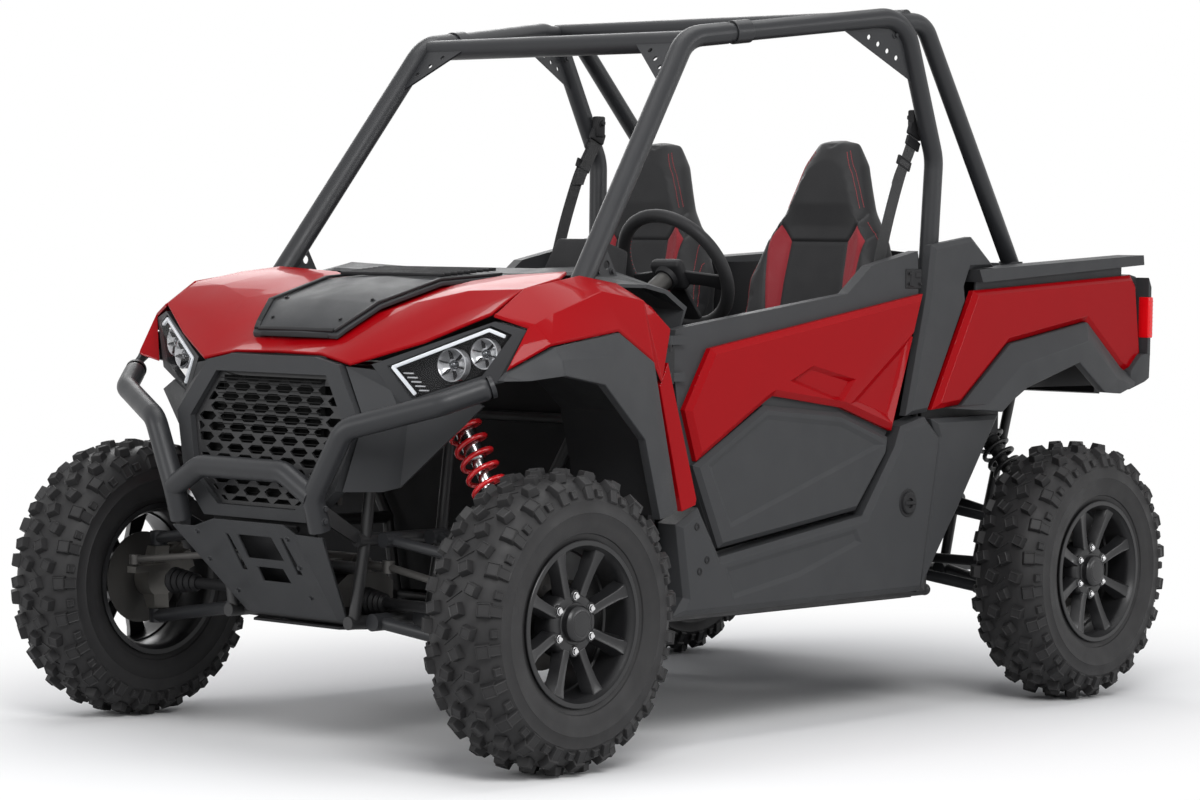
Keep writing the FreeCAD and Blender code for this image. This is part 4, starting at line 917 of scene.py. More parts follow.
# %% Red stitches that follow the vinyl
def stitches(bm, tree, flat, facing, line, gap=0.0075):
    """Two rows of short threads laid on the surface along a chain of (u, v) points."""
    points = [flat.mm(u, v) for u, v in line]
    for side in (-0.5, 0.5):
        for a, b in zip(points, points[1:]):
            along = (b - a).normalized()
            out = Vector((-along.y, along.x)) * gap * side
            count = max(1, int((b - a).length / 0.0068))
            for i in range(count):
                ends = []
                for k in (i + 0.12, i + 0.82):
                    start = flat.place(a + along * ((b - a).length * k / count) + out) + facing * 3.0
                    spot, normal, *_ = tree.ray_cast(start, -facing, 6.0)
                    if spot:
                        ends.append(spot + normal * 0.0004)
                if len(ends) == 2 and (ends[0] - ends[1]).length < 0.02:
                    rod(bm, ends[0], ends[1], 0.0007, sides=5, index=2)


def make_seat(node, press, cap, flat, facing, seams, inserts, threads):
    """One cushion, blown up, sewn and stitched, and its twin on the other side."""
    obj, lowest = soft_block(node, press)
    blow_up(obj, lowest, cap)
    bm = opened(obj.data)
    bpy.data.objects.remove(obj)
    sew(bm, flat, facing, both_sides(flat, seams),
        [[flat.mm(s * u, v) for u, v in outline] for outline in inserts for s in (-1, 1)])
    tree = BVHTree.FromBMesh(bm)
    for line in threads:
        for s in (-1, 1):
            stitches(bm, tree, flat, facing, [(s * u, v) for u, v in line])
    join(bm, bm.copy(), MIRROR)
    made = piece(node + "_padded", bm, body_of[node], [black_vinyl, red_cloth, red_thread], angle=50)
    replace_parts(made, node)
    return made


# %% The backs
def press_back(co, normal):
    u, z = abs(co.x * 1000 - SEAT_X), co.z * 1000
    if normal.y > -0.2:
        return Vector((0, 0, 0))
    edge = 150 if z < 1257 else 150 - (z - 1257) * 0.15
    sunk = max(0.0, 1 - (u / edge) ** 4) * 0.026
    if z > 1290:
        sunk *= max(0.25, 1 - (z - 1290) / 90)
    if z < 760:
        sunk *= max(0.0, (z - 640) / 120)
    return Vector((0, sunk, 0))


UPRIGHT = Flat(False)
seat_back = make_seat(
    "seat_backs", press_back, 0.010, UPRIGHT, Vector((0, -1, 0)),
    seams=[[(0, 1254), (96, 1254), (129, 1299), (140, 1338)], [(96, 1254), (104, 1066), (122, 860)],
           [(129, 1299), (162, 1257), (142, 1066), (122, 860)], [(162, 1257), (180, 1290), (186, 1300)],
           [(0, 1010), (107, 1010)], [(122, 860), (118, 640)]],
    inserts=[[(96, 1254), (129, 1299), (162, 1257), (142, 1066), (122, 860), (104, 1066)]],
    threads=[[(56, 1500), (88, 1440), (126, 1345)],
             [(152, 1310), (196, 1250), (222, 1130), (229, 900), (222, 720)]])
print("seat backs:", len(seat_back.data.polygons), "faces")


# %% The cushions
def press_cushion(co, normal):
    u, y = abs(co.x * 1000 - SEAT_X), (co.y - FRONT_AXLE) * 1000
    if normal.z < 0.2:
        return Vector((0, 0, 0))
    sunk = max(0.0, 1 - (u / 165) ** 4) * 0.030
    if y < 1080:
        sunk *= max(0.2, 1 - (1080 - y) / 140)
    return Vector((0, 0, -sunk))


LEVEL = Flat(True)
seat_cushion = make_seat(
    "seat_cushions", press_cushion, 0.012, LEVEL, Vector((0, 0, 1)),
    seams=[[(0, 1150), (112, 1150)], [(112, 1150), (122, 1372)],
           [(112, 1150), (150, 1090), (146, 1260), (122, 1372)], [(112, 1150), (104, 975)]],
    inserts=[[(112, 1150), (150, 1090), (146, 1260), (122, 1372)]],
    threads=[[(205, 985), (212, 1180), (214, 1368)]])
print("seat cushions:", len(seat_cushion.data.polygons), "faces")

# %% [markdown]
# ## Headlamps
#
# A headlamp is a small stage: a dark rim, a tray with silver sides, two round reflectors, a light bar that
# follows the inner and upper edges, and a clear cover. It all lies on one swept plane, so the parts are drawn
# as flat outlines in x and z and put on that plane. The tray starts as the rim's face, which is inset and
# pushed back. The light bar glows a little, so that it reads as lit plastic and not as white paint.

# %% The lamp plane and outline plates
LAMP = [(338, 938), (565, 1038), (613, 1018), (550, 921), (394, 862)]
LAMP_OUT = Vector((0.48, -1.0, 0.026)).normalized()


def on_lamp(x, z, deep=0.0):
    """A point of the swept lamp plane, set back by deep millimetres."""
    return at(x, -345.1 + 0.48 * x + 0.026 * z + deep, z)


def outline_face(bm, points):
    """One face through the given points."""
    face = bm.faces.new([bm.verts.new(p) for p in points])
    bm.normal_update()
    return face


def shrink(points, d):
    """An outline moved in by about d millimetres towards its middle."""
    mx, mz = (sum(p[i] for p in points) / len(points) for i in (0, 1))
    out = []
    for x, z in points:
        long = math.hypot(x - mx, z - mz)
        out.append((x - (x - mx) * d / long, z - (z - mz) * d / long))
    return out


# %% Tray, reflectors, light bar and cover
DARK, SILVER, LENS, GLOW = range(4)            # the headlamp's materials, in their order on the piece


def lamp_tray():
    """The dark rim, sloping silver sides and a dark floor."""
    bm = bmesh.new()
    face = outline_face(bm, [on_lamp(x, z, 3) for x, z in shrink(LAMP, 7)])
    if face.normal.dot(LAMP_OUT) < 0:
        bmesh.ops.reverse_faces(bm, faces=[face])
    bmesh.ops.inset_region(bm, faces=[face], thickness=0.0055, depth=0.0)
    for _ in range(3):
        made = bmesh.ops.inset_region(bm, faces=[face], thickness=0.006, depth=-0.013)
        for f in made["faces"]:
            f.material_index = SILVER
    face.material_index = DARK
    return bm


BOWL_R = 0.0415


def reflector(r):
    """A deep round bowl with six dark fins round a projector lens."""
    bm = turned([(0.012, -0.012), (0.020, -0.016), (0.030, -0.010), (0.036, 0.001), (0.039, 0.004),
                 (BOWL_R, 0.003), (BOWL_R, -0.02), (0.012, -0.02), (0.012, -0.012)], 36)
    for f in bm.faces:
        f.material_index = SILVER
    for i in range(6):
        fin = cube((0.0022, 0.022, 0.016), 0.0004)
        join(bm, fin, rotated(60 * i + 15, "Z") @ moved((0, 0.026, -0.004)), DARK)
    eye = turned([(0, 0.004), (0.005, 0.003), (0.009, -0.0005), (0.0115, -0.006), (0.0125, -0.012)], 24)
    join(bm, eye, Matrix(), LENS)
    bmesh.ops.scale(bm, vec=(r / BOWL_R,) * 3, verts=bm.verts)
    return bm


def light_bar(bm):
    """A glowing bar in short sections along the inner, upper and outer edges."""
    path = [(401, 874), (350, 936), (562, 1028), (596, 1014)]
    for (x0, z0), (x1, z1) in zip(path, path[1:]):
        a, b = on_lamp(x0, z0, 4), on_lamp(x1, z1, 4)
        part = cube((0.0085, 0.0085, (b - a).length + 0.004), 0.002, 2)
        join(bm, part, aimed(a, b), GLOW)


def headlamp():
    """The left lamp's inside and its clear cover, as two bmeshes."""
    bm = lamp_tray()
    for x, z, r in ((470, 944, 0.040), (541, 972, 0.037)):
        join(bm, reflector(r), moved(on_lamp(x, z, 22)) @ looking(Vector((0.2, -1, 0.02))))
    for i in range(5):
        step = cube((0.026, 0.004, 0.005), 0.001)
        join(bm, step, moved(on_lamp(375 + 9 * i, 922 - 10 * i, 20)) @ looking(LAMP_OUT), SILVER)
    light_bar(bm)
    cover = bmesh.new()
    front = outline_face(cover, [on_lamp(x, z, -0.5) for x, z in shrink(LAMP, 4)])
    if front.normal.dot(LAMP_OUT) < 0:
        bmesh.ops.reverse_faces(cover, faces=[front])
    for rise in (0.003, 0.0012):
        bmesh.ops.inset_region(cover, faces=[front], thickness=0.016, depth=rise)
    bmesh.ops.solidify(cover, geom=list(cover.faces), thickness=0.0015)
    return bm, cover


for side, hand in HANDS:
    inside, cover = headlamp() if side > 0 else map(flipped, headlamp())
    inner = piece("headlamp_" + hand, inside, body_of["headlamps"],
                  [black_plastic, lamp_silver, lamp_eye, light_white])
    piece("headlamp_cover_" + hand, cover, body_of["headlamps"], clear_cover)
    if side > 0:
        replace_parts(inner, "headlamps")
print("headlamps done")

# %% [markdown]
# ## Tail lamps
#
# A tail lamp is a tall red lens. Fine ribs run across its rear face and its flank, as the optics of a
# moulded lens do, and the lens itself is a rounded block.

# %% Tail lamps
def tail_lamp(side):
    """The lens with nine ribs across its rear face and nine on its flank."""
    low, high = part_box("tail_lamps")
    bm = bmesh.new()
    size = Vector((0.036, 0.024, high[2] - low[2]))
    outer = high[0] + 0.006
    middle = side * (outer - size.x / 2)
    place = (middle, high[1] + 0.0005 - size.y / 2, (low[2] + high[2]) / 2)
    join(bm, cube(size, 0.004, 3), moved(place), 0)
    for i in range(9):
        z = low[2] + 0.012 + i * (size.z - 0.024) / 8
        join(bm, cube((0.024, 0.003, 0.0035), 0.0008), moved((middle, high[1] + 0.0006, z)), 0)
        join(bm, cube((0.003, 0.016, 0.0035), 0.0008), moved((side * outer, high[1] - 0.011, z)), 0)
    return bm


for side, hand in HANDS:
    made = piece("tail_lamp_" + hand, tail_lamp(side), body_of["tail_lamps"], tail_red)
    if side > 0:
        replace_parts(made, "tail_lamps")
print("tail lamps done")

# %% [markdown]
# ## Rear corners
#
# Under each tail lamp a dark cap closes the corner between the flare and the lamp's housing. It is one
# outline seen from the side, pulled inwards and softened along its edges.

# %% The caps under the tail lamps
def corner_cap(side):
    """A flat outline in y and z from the lower rear corner of the lamps' box, pulled inwards."""
    low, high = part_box("tail_lamps")
    outline = mm([(-104, -93), (-51, -47), (-4, -43), (-7, -116), (-31, -127), (-111, -148)])
    bm = bmesh.new()
    face = outline_face(bm, [Vector((high[0] + 0.003, high[1] + y, low[2] + z)) for y, z in outline])
    if face.normal.x < 0:
        bmesh.ops.reverse_faces(bm, faces=[face])
    inner = bmesh.ops.extrude_face_region(bm, geom=[face])
    bmesh.ops.translate(bm, vec=(-0.046, 0, 0),
                        verts=[v for v in inner["geom"] if isinstance(v, bmesh.types.BMVert)])
    bmesh.ops.recalc_face_normals(bm, faces=bm.faces)
    bmesh.ops.bevel(bm, geom=list(bm.edges), offset=0.004, offset_type="OFFSET", affect="EDGES", segments=2,
                    profile=0.5, material=-1)
    return bm if side > 0 else flipped(bm)


caps = bmesh.new()
for side in (1, -1):
    join(caps, corner_cap(side))
piece("rear_corner_caps", caps, body_of["tail_lamps"], body_plastic)
print("rear corners done")

# %% [markdown]
# ## The front
#
# Behind the honeycomb sits the radiator, thin fins and tubes before a dark plate. The plate is painted
# shade, a near-black sheet that fills the mouth behind the grille, where the vehicle shows only shadow. The
# hood cover has raised edges and a slot at its front lip that feeds the air box. The slot is painted shade as
# well: a black bar that stands for the dark opening. Behind the cover a ribbed cowl reaches back to the dash.
# The fins are many equal bars, so one bar is made and spun along a straight line: a spin with no angle and a
# step vector is a row.

# %% Radiator, and a plate of painted shade behind the grille
def row_of(part, count, step):
    """Copies of a part in a straight row."""
    bmesh.ops.spin(part, geom=list(part.verts) + list(part.edges) + list(part.faces), cent=(0, 0, 0),
                   axis=(0, 0, 1), dvec=step, angle=0.0, steps=count - 1, use_duplicate=True)
    return part


def leaning(x, z, back):
    """A point behind the leaning front face."""
    k = (960 - z) / 398
    return at(x, -209 - 52 * k + back, z)


radiator = bmesh.new()
# painted shade: a near-black plate that fills the grille's mouth, where the vehicle shows only shadow
shade_plate = bmesh.new()
edge = [(196, 925), (282, 802), (236, 640), (150, 575)]
outline = [leaning(x, z, 44) for x, z in edge] + [leaning(-x, z, 44) for x, z in reversed(edge)]
outline_face(shade_plate, outline)
bmesh.ops.solidify(shade_plate, geom=list(shade_plate.faces), thickness=0.003)
bmesh.ops.recalc_face_normals(shade_plate, faces=shade_plate.faces)
join(radiator, shade_plate)
fins = row_of(cube((0.0012, 0.006, 0.30)), 84, (0.0042, 0, 0))
join(radiator, fins, moved(leaning(-174, 752, 36)))
tubes = row_of(cube((0.36, 0.004, 0.002)), 24, (0, 0, 0.0125))
join(radiator, tubes, moved(leaning(0, 608, 38)))
piece("radiator_and_shade_plate", radiator, body_of["grille"], fins_and_shade_black)
rounded("grille", 0.0016, grille_black)
print("front done")

# %% Hood cover edges, a black bar of painted shade for the front slot, and the ribbed cowl behind it
cover_trim = bmesh.new()
for s in (-1, 1):
    rail = [(146, -132, 1016), (158, -114, 1030), (196, -38, 1085), (206, 163, 1141), (226, 360, 1156)]
    for (x0, y0, z0), (x1, y1, z1) in zip(rail, rail[1:]):
        a, b = at(s * (x0 - 9), y0, z0 + 1), at(s * (x1 - 9), y1, z1 + 1)
        bar = cube((0.014, 0.007, (b - a).length + 0.006), 0.0025, 2)
        join(cover_trim, bar, aimed(a, b))
lip = cube((0.262, 0.012, 0.007), 0.0025, 2)
join(cover_trim, lip, moved(at(0, -131, 1017)) @ rotated(45, "X"))
for i in range(9):
    y = 196 + 21 * i
    rib = cube((0.36 + 0.004 * i, 0.008, 0.009), 0.0025, 2)
    join(cover_trim, rib, moved(at(0, y, 1147 + 0.09 * (y - 163) + 3)))
for s in (-1, 1):
    for x, y, z in ((118, -96, 1042), (150, -20, 1090)):
        bolt(cover_trim, at(s * x, y, z - 1), Vector((0, -0.45, 0.9)), 0.0045)
piece("hood_cover_trim", cover_trim, body_of["hood_cover"], black_plastic)

# painted shade: a black bar on the lip stands for the dark opening of the slot
slot = bmesh.new()
join(slot, cube((0.236, 0.010, 0.012), 0.003, 2), moved(at(0, -133.5, 1003)) @ rotated(-8, "X"))
piece("hood_slot_shade", slot, body_of["hood_cover"], black_plastic)

# %% Ends and bolts of the bumper, and the skid plate's bolts
front_bolts = bmesh.new()
for s in (-1, 1):
    for z in (601, 572):
        bolt(front_bolts, at(s * 270, -288, z), Vector((s, -0.25, 0)), 0.006)
    for x, y, z in ((158, -302, 524), (158, -260, 455), (128, -192, 376)):
        bolt(front_bolts, at(s * x, y, z), Vector((0, -0.86, -0.5)), 0.0055)
    end = Vector((s * 57, 74, 33)).normalized()
    plate = turned([(0.008, 0.0), (0.0085, 0.0012), (0.0255, 0.0012), (0.0268, 0.0), (0.0268, -0.010)], 28)
    join(front_bolts, plate, moved(at(s * 609, -115, 890) + end * 0.027) @ looking(end))
piece("bumper_bolts", front_bolts, body_of["bumper"], powder_coat)
print("bumper done")

# %% [markdown]
# ## Cockpit
#
# The driver sees a thick wheel with a padded rim, a hooded display in front of it and a row of switches.
# The rim is turned from an oval profile. Its three spokes are boxes pulled to a taper, and the hub is a soft
# square pad with nothing printed on it. Everything on the wheel is drawn flat round the origin and tilted
# in place at the end, together.

# %% Steering wheel
WHEEL_AT = (320, 914, 1172)
WHEEL_PLACE = moved(at(*WHEEL_AT)) @ rotated(31 - 90, "X")


def steering_wheel():
    """Padded rim, three spokes, hub pad, column boot and the stitches inside the rim."""
    round_section = [math.radians(18 * i) for i in range(21)]
    bm = turned([(0.162 + 0.0178 * math.cos(a), 0.0165 * math.sin(a)) for a in round_section], 72)
    for turn in (14, 166, 90):
        arm = bmesh.new()
        bmesh.ops.create_cube(arm, size=1.0)
        along = [e for e in arm.edges if abs((e.verts[0].co - e.verts[1].co).x) > 0.5]
        bmesh.ops.subdivide_edges(arm, edges=along, cuts=3, use_grid_fill=True)
        for v in arm.verts:
            k = v.co.x + 0.5
            v.co.y *= 0.046 - 0.040 * k * (1 - k) if turn != 90 else 0.062 - 0.05 * k * (1 - k)
            v.co.z = v.co.z * 0.011 - 0.026 * (1 - k) ** 2
            v.co.x = 0.022 + 0.132 * k
        bevelled(arm, 0.003, 2, 30)
        join(bm, arm, rotated(turn, "Z"), 1)
    pad = cube((0.098, 0.082, 0.034), 0.012, 3)
    join(bm, pad, moved((0, -0.002, -0.024)), 1)
    ring = turned([(0, 0.0008), (0.019, 0.0008), (0.021, 0.0), (0.021, -0.003)], 32)
    join(bm, ring, moved((0, 0, -0.0065)), 1)
    boot = turned([(0.009, -0.096), (0.009, -0.052), (0.030, -0.052), (0.036, -0.040), (0.030, -0.020),
                   (0, -0.020)], 28)
    join(bm, boot, Matrix(), 1)
    shaft = turned([(0, -0.096), (0.009, -0.096), (0.009, -0.05), (0, -0.05)], 20)
    join(bm, shaft, Matrix(), 1)
    for turn in range(0, 360, 5):
        if 38 < (turn % 180) < 142:
            continue
        stitch = cube((0.0022, 0.0012, 0.0032), 0.0004)
        join(bm, stitch, rotated(turn, "Z") @ moved((0.1448, 0, 0.003)), 2)
    bm.transform(WHEEL_PLACE)
    return bm


wheel = piece("steering_wheel_padded", steering_wheel(), body_of["steering_wheel"],
              [black_vinyl, black_plastic, red_thread])
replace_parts(wheel, "steering_wheel")
print("steering wheel faces:", len(wheel.data.polygons))


# %% Display hood, switches, grab rail, pedals and shifter
def cockpit_parts():
    bm = bmesh.new()
    hood = bmesh.new()
    bmesh.ops.create_cube(hood, size=1.0)
    bmesh.ops.scale(hood, vec=(0.200, 0.100, 0.085), verts=hood.verts)
    bmesh.ops.scale(hood, vec=(0.72, 1, 1), verts=[v for v in hood.verts if v.co.z > 0])
    bmesh.ops.translate(hood, vec=(0, 0.018, 0), verts=[v for v in hood.verts if v.co.z > 0 and v.co.y > 0])
    bevelled(hood, 0.010, 2)
    hood.normal_update()
    back = max(hood.faces, key=lambda f: f.normal.y * f.calc_area())
    bmesh.ops.inset_region(hood, faces=[back], thickness=0.009, depth=-0.014)
    back.material_index = 1
    join(bm, hood, moved(at(320, 570, 1196)) @ rotated(-16, "X"))
    for i in range(5):
        key = cube((0.030, 0.010, 0.020), 0.003, 2)
        join(bm, key, moved(at(32 + 44 * i, 606, 1110)) @ rotated(4, "X"), 0)
    for x in (-430, -230):
        vent = turned([(0.034, 0.0), (0.036, 0.004), (0.042, 0.004), (0.044, 0.0)], 32)
        join(bm, vent, moved(at(x, 603, 1110)) @ rotated(-90, "X"), 0)
        for k in range(5):
            blade = cube((0.062, 0.003, 0.002), 0.0006)
            join(bm, blade, moved(at(x, 604, 1088 + 11 * k)), 0)
    grab_rail = ((-470, 600), (-470, 650), (-445, 672), (-215, 672), (-190, 650), (-190, 600))
    tube(bm, [at(x, y, 1030) for x, y in grab_rail], 0.011, 16)
    for x, y, wide in ((250, 560, 0.075), (365, 555, 0.052)):
        pad = cube((wide, 0.010, 0.072), 0.003, 2)
        join(bm, pad, moved(at(x, y, 470)) @ rotated(28, "X"), 0)
        tube(bm, [at(x, y - 6, 490), at(x, y - 40, 620), at(x, 520, 700)], 0.007, 12)
        for k in range(4):
            grip = cube((wide * 0.86, 0.004, 0.006), 0.0015)
            join(bm, grip, moved(at(x, y + 4 + 3 * (k - 1.5), 452 + 14 * k)) @ rotated(28, "X"), 0)
    tube(bm, [at(20, 720, 610), at(24, 742, 700), at(30, 772, 800)], 0.008, 12)
    knob = turned([(0.008, -0.03), (0.012, -0.028), (0.019, 0.0), (0.021, 0.018), (0.017, 0.032),
                   (0.009, 0.037), (0, 0.038)], 24)
    join(bm, knob, moved(at(31, 776, 812)) @ rotated(-12, "X"), 0)
    return bm


piece("cockpit_parts", cockpit_parts(), body_of["dash"], [black_plastic, display_glass])
print("cockpit done")

# %% [markdown]
# ## Seat belts
#
# A belt is a flat woven strap. A cloth simulation would only make it noisy, so it is drawn directly: one
# short edge as wide as the strap is extruded from point to point along its way and then given a thickness.
# Its weave is in the material. Two sliders keep the doubled part together under the guide on the cage.

# %% Straps, guides, sliders and buckles
def strap(bm, points, wide, thick):
    """A flat strap whose width runs along the vehicle."""
    part = bmesh.new()
    half = Vector((0, wide / 2000, 0))
    edge = part.edges.new((part.verts.new(points[0] - half), part.verts.new(points[0] + half)))
    for a, b in zip(points, points[1:]):
        grown = bmesh.ops.extrude_edge_only(part, edges=[edge])["geom"]
        bmesh.ops.translate(part, vec=b - a, verts=[v for v in grown if isinstance(v, bmesh.types.BMVert)])
        edge = next(e for e in grown if isinstance(e, bmesh.types.BMEdge)
                    and all(v in grown for v in e.verts))
    bmesh.ops.solidify(part, geom=list(part.faces), thickness=thick / 1000)
    bmesh.ops.recalc_face_normals(part, faces=part.faces)
    join(bm, part, Matrix(), 0)


def eased(points):
    """Points of a soft curve that starts and ends where the given chain does."""
    curve = bpy.data.curves.new("strap", "CURVE")
    curve.dimensions = "3D"
    line = curve.splines.new("NURBS")
    line.points.add(len(points) - 1)
    for point, place in zip(line.points, points):
        point.co = (*place, 1)
    line.order_u = 3
    line.use_endpoint_u = True
    line.resolution_u = 7
    holder = bpy.data.objects.new("strap", curve)
    mesh = bpy.data.meshes.new_from_object(holder)
    out = [v.co.copy() for v in mesh.vertices]
    bpy.data.objects.remove(holder)
    bpy.data.curves.remove(curve)
    bpy.data.meshes.remove(mesh)
    return out


def slider():
    """A rectangular slide with a sunk field on both sides."""
    part = cube((0.007, 0.060, 0.026), 0.002, 2)
    part.normal_update()
    for f in [f for f in part.faces if abs(f.normal.x) > 0.99]:
        bmesh.ops.inset_region(part, faces=[f], thickness=0.005, depth=-0.0022)
    return part


STRAP = [(570, 1604, 1546), (575, 1572, 1492), (575, 1535, 1440), (576, 1452, 1230), (577, 1404, 1010),
         (577, 1380, 900), (576, 1372, 760)]
DOUBLED = [(568, 1606, 1544), (570, 1578, 1488), (571, 1540, 1440), (571, 1528, 1410)]
STALK = [(54, 1400, 640), (56, 1385, 720), (58, 1372, 790)]
GUIDE_TILT = rotated(-22, "X")
BUCKLE_TILT = rotated(8, "X")


def belts(side):
    """The strap with its sliders, guide and anchor, and the buckle between the seats."""
    bm = bmesh.new()

    def webbed(way, wide, thick):
        strap(bm, eased([at(side * x, y, z) for x, y, z in way]), wide, thick)

    webbed(STRAP, 48, 1.6)
    webbed(DOUBLED, 48, 1.6)
    for y, z in ((1590, 1520), (1552, 1466)):
        join(bm, slider(), moved(at(side * 573.5, y, z)) @ GUIDE_TILT, 1)
    join(bm, cube((0.014, 0.058, 0.034), 0.005, 2), moved(at(side * 568, 1606, 1552)) @ GUIDE_TILT, 1)
    join(bm, cube((0.022, 0.036, 0.060), 0.005, 2), moved(at(side * 565, 1608, 1580)), 1)
    bolt(bm, at(side * 554, 1608, 1590), Vector((-side, 0, 0)), 0.008, 1)
    webbed(STALK, 30, 3.0)
    join(bm, cube((0.024, 0.046, 0.070), 0.006, 2), moved(at(side * 59, 1368, 815)) @ BUCKLE_TILT, 1)
    button = cube((0.014, 0.030, 0.008), 0.002)
    join(bm, button, moved(at(side * 59, 1363, 851)) @ BUCKLE_TILT, 2)
    return bm


for side, hand in HANDS:
    made = piece("seat_belt_" + hand, belts(side), body_of["seat_belts"],
                 [webbing, black_plastic, spring_red])
    if side > 0:
        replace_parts(made, "seat_belts")
print("belts done")

# %% [markdown]
# ## Springs
#
# A coil spring is one round wire on a helix. The screw form of a spin makes it: a small circle of points is
# turned round the spring's axis while it climbs a little at every step. The ends are capped, and the coil is
# laid along the shock that it stands on.

# %% Coil springs on the four shocks
def coil(top, foot, radius, wire, turns):
    """A round wire on a helix from top to foot, with its ends inside that length."""
    part = bmesh.new()
    bmesh.ops.create_circle(part, cap_ends=False, segments=10, radius=wire)
    bmesh.ops.rotate(part, cent=(0, 0, 0), matrix=Matrix.Rotation(math.pi / 2, 3, "X"), verts=part.verts)
    bmesh.ops.translate(part, vec=(radius, 0, 0), verts=part.verts)
    long = (foot - top).length - 2 * wire
    steps = turns * 20
    bmesh.ops.spin(part, geom=list(part.verts) + list(part.edges), cent=(0, 0, 0), axis=(0, 0, 1),
                   dvec=(0, 0, long / steps), angle=2 * math.pi * turns, steps=steps)
    bmesh.ops.holes_fill(part, edges=[e for e in part.edges if e.is_boundary], sides=12)
    bmesh.ops.recalc_face_normals(part, faces=part.faces)
    part.transform(moved((0, 0, wire)))
    part.transform(moved(top) @ looking(foot - top))
    return part


for end, y, z_top, look in (("front", 40, 892.7, spring_red), ("rear", 2185, 807.4, chassis_paint)):
    node = end + "_springs"
    bm, sleeves = bmesh.new(), bmesh.new()
    for side in (1, -1):
        # the shock leans out: its upper end is nearer the middle of the vehicle
        top, foot = at(side * 342, y, z_top), at(side * 556, y, 540)
        join(bm, coil(top.lerp(foot, 0.17), top.lerp(foot, 0.84), 0.040, 0.0064, 7))
        if end == "rear":
            for k0, k1, r in ((0.135, 0.168, 0.0478), (0.17, 0.50, 0.0262), (0.495, 0.835, 0.0182),
                              (0.838, 0.872, 0.0478)):
                a, b = top.lerp(foot, k0), top.lerp(foot, k1)
                half = (b - a).length / 2
                can = turned([(0, -half), (r - 0.001, -half), (r, -half + 0.001), (r, half - 0.001),
                              (r - 0.001, half), (0, half)], 32)
                join(sleeves, can, aimed(a, b))
    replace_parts(piece(node + "_coiled", bm, body_of[node], look, angle=60), node)
    if end == "rear":
        piece("rear_shock_sleeves", sleeves, body_of["shocks"], chassis_paint)
print("springs done")

# %% [markdown]
# ## Roll cage joints
#
# The cage is shipped in parts and bolted together, so its joints show: a split sleeve on each side tube, a
# ring with six bolts at the foot of each rear leg, bolts through the holes of the corner plates and two at
# each front foot. A sleeve is a turned ring with a flange along it, set on the tube by aiming its axis from
# one point to the next.

# %% Sleeves, clamps and bolts
def sleeve(bm, a, b, r, long, flange=True):
    """A split sleeve round a tube that runs from a to b, in the middle between them."""
    ring = turned([(r + 0.0004, -long / 2), (r + 0.0034, -long / 2), (r + 0.0042, -long / 2 + 0.001),
                   (r + 0.0042, long / 2 - 0.001), (r + 0.0034, long / 2), (r + 0.0004, long / 2),
                   (r + 0.0004, -long / 2)], 32)
    place = aimed(a, b)
    join(bm, ring, place)
    if flange:
        # the flange looks to the middle of the vehicle and a little down
        inward = place.to_3x3().inverted() @ Vector((-a.x, 0, -abs(a.x) / 2))
        place = place @ Matrix.Rotation(math.atan2(inward.y, inward.x) - math.pi / 2, 4, "Z")
        fin = cube((0.006, 0.018, long * 0.9), 0.0015)
        join(bm, fin, place @ moved((0, r + 0.009, 0)))
        for k in (-0.28, 0.28):
            spot = place @ Vector((0.003, r + 0.012, long * k))
            bolt(bm, spot, place.to_3x3() @ Vector((1, 0, 0)), 0.0042)


SIDE_TUBE = (460, 773, 1761), (622, 1474, 1852)    # ends of the upper side tube of the cage
FOOT_BOLTS_R = 29.6


def cage_joints():
    bm = bmesh.new()
    for s in (-1, 1):
        def on(k):
            """A point at share k of the upper side tube."""
            x, y, z = (a + (b - a) * k for a, b in zip(*SIDE_TUBE))
            return at(s * x, y, z)
        sleeve(bm, on(0.215), on(0.265), 0.0262, 0.052)
        sleeve(bm, at(s * 590, 1640, 1105), at(s * 590.6, 1641, 1135), 0.0262, 0.020, False)
        for x, y, z in ((604, 1496, 1772), (604, 1530, 1795), (606, 1452, 1800)):
            bolt(bm, at(s * (x - 9), y, z), Vector((-s, 0, 0)), 0.0065)
            bolt(bm, at(s * (x + 5), y, z), Vector((s, 0, 0)), 0.0065)
        for y, z in ((372, 1166), (424, 1168)):
            bolt(bm, at(s * 530, y, z), Vector((s, 0, 0)), 0.006)
        for k in range(6):
            turn = math.radians(60 * k)
            foot = at(s * 590 + FOOT_BOLTS_R * math.cos(turn), 1640 + FOOT_BOLTS_R * math.sin(turn), 1102)
            bolt(bm, foot, Vector((0, 0, 1)), 0.0035)
    return bm


piece("cage_joints", cage_joints(), body_of["roll_cage"], powder_coat)
print("cage joints done")

# %% [markdown]
# ## Load bed and tail
#
# The load floor is ribbed, so that mud and water have somewhere to go, and the tailgate has a latch handle.
# The ribs of the floor are one bar repeated across it.

# %% Bed ribs, tailgate handle, ribs and corner bolts
bed = bmesh.new()
ribs = row_of(cube((0.016, 0.66, 0.004), 0.0012), 21, (0.052, 0, 0))
join(bed, ribs, moved(at(-520, 2176, 863.6)))
piece("bed_ribs", bed, body_of["bed"], black_plastic)

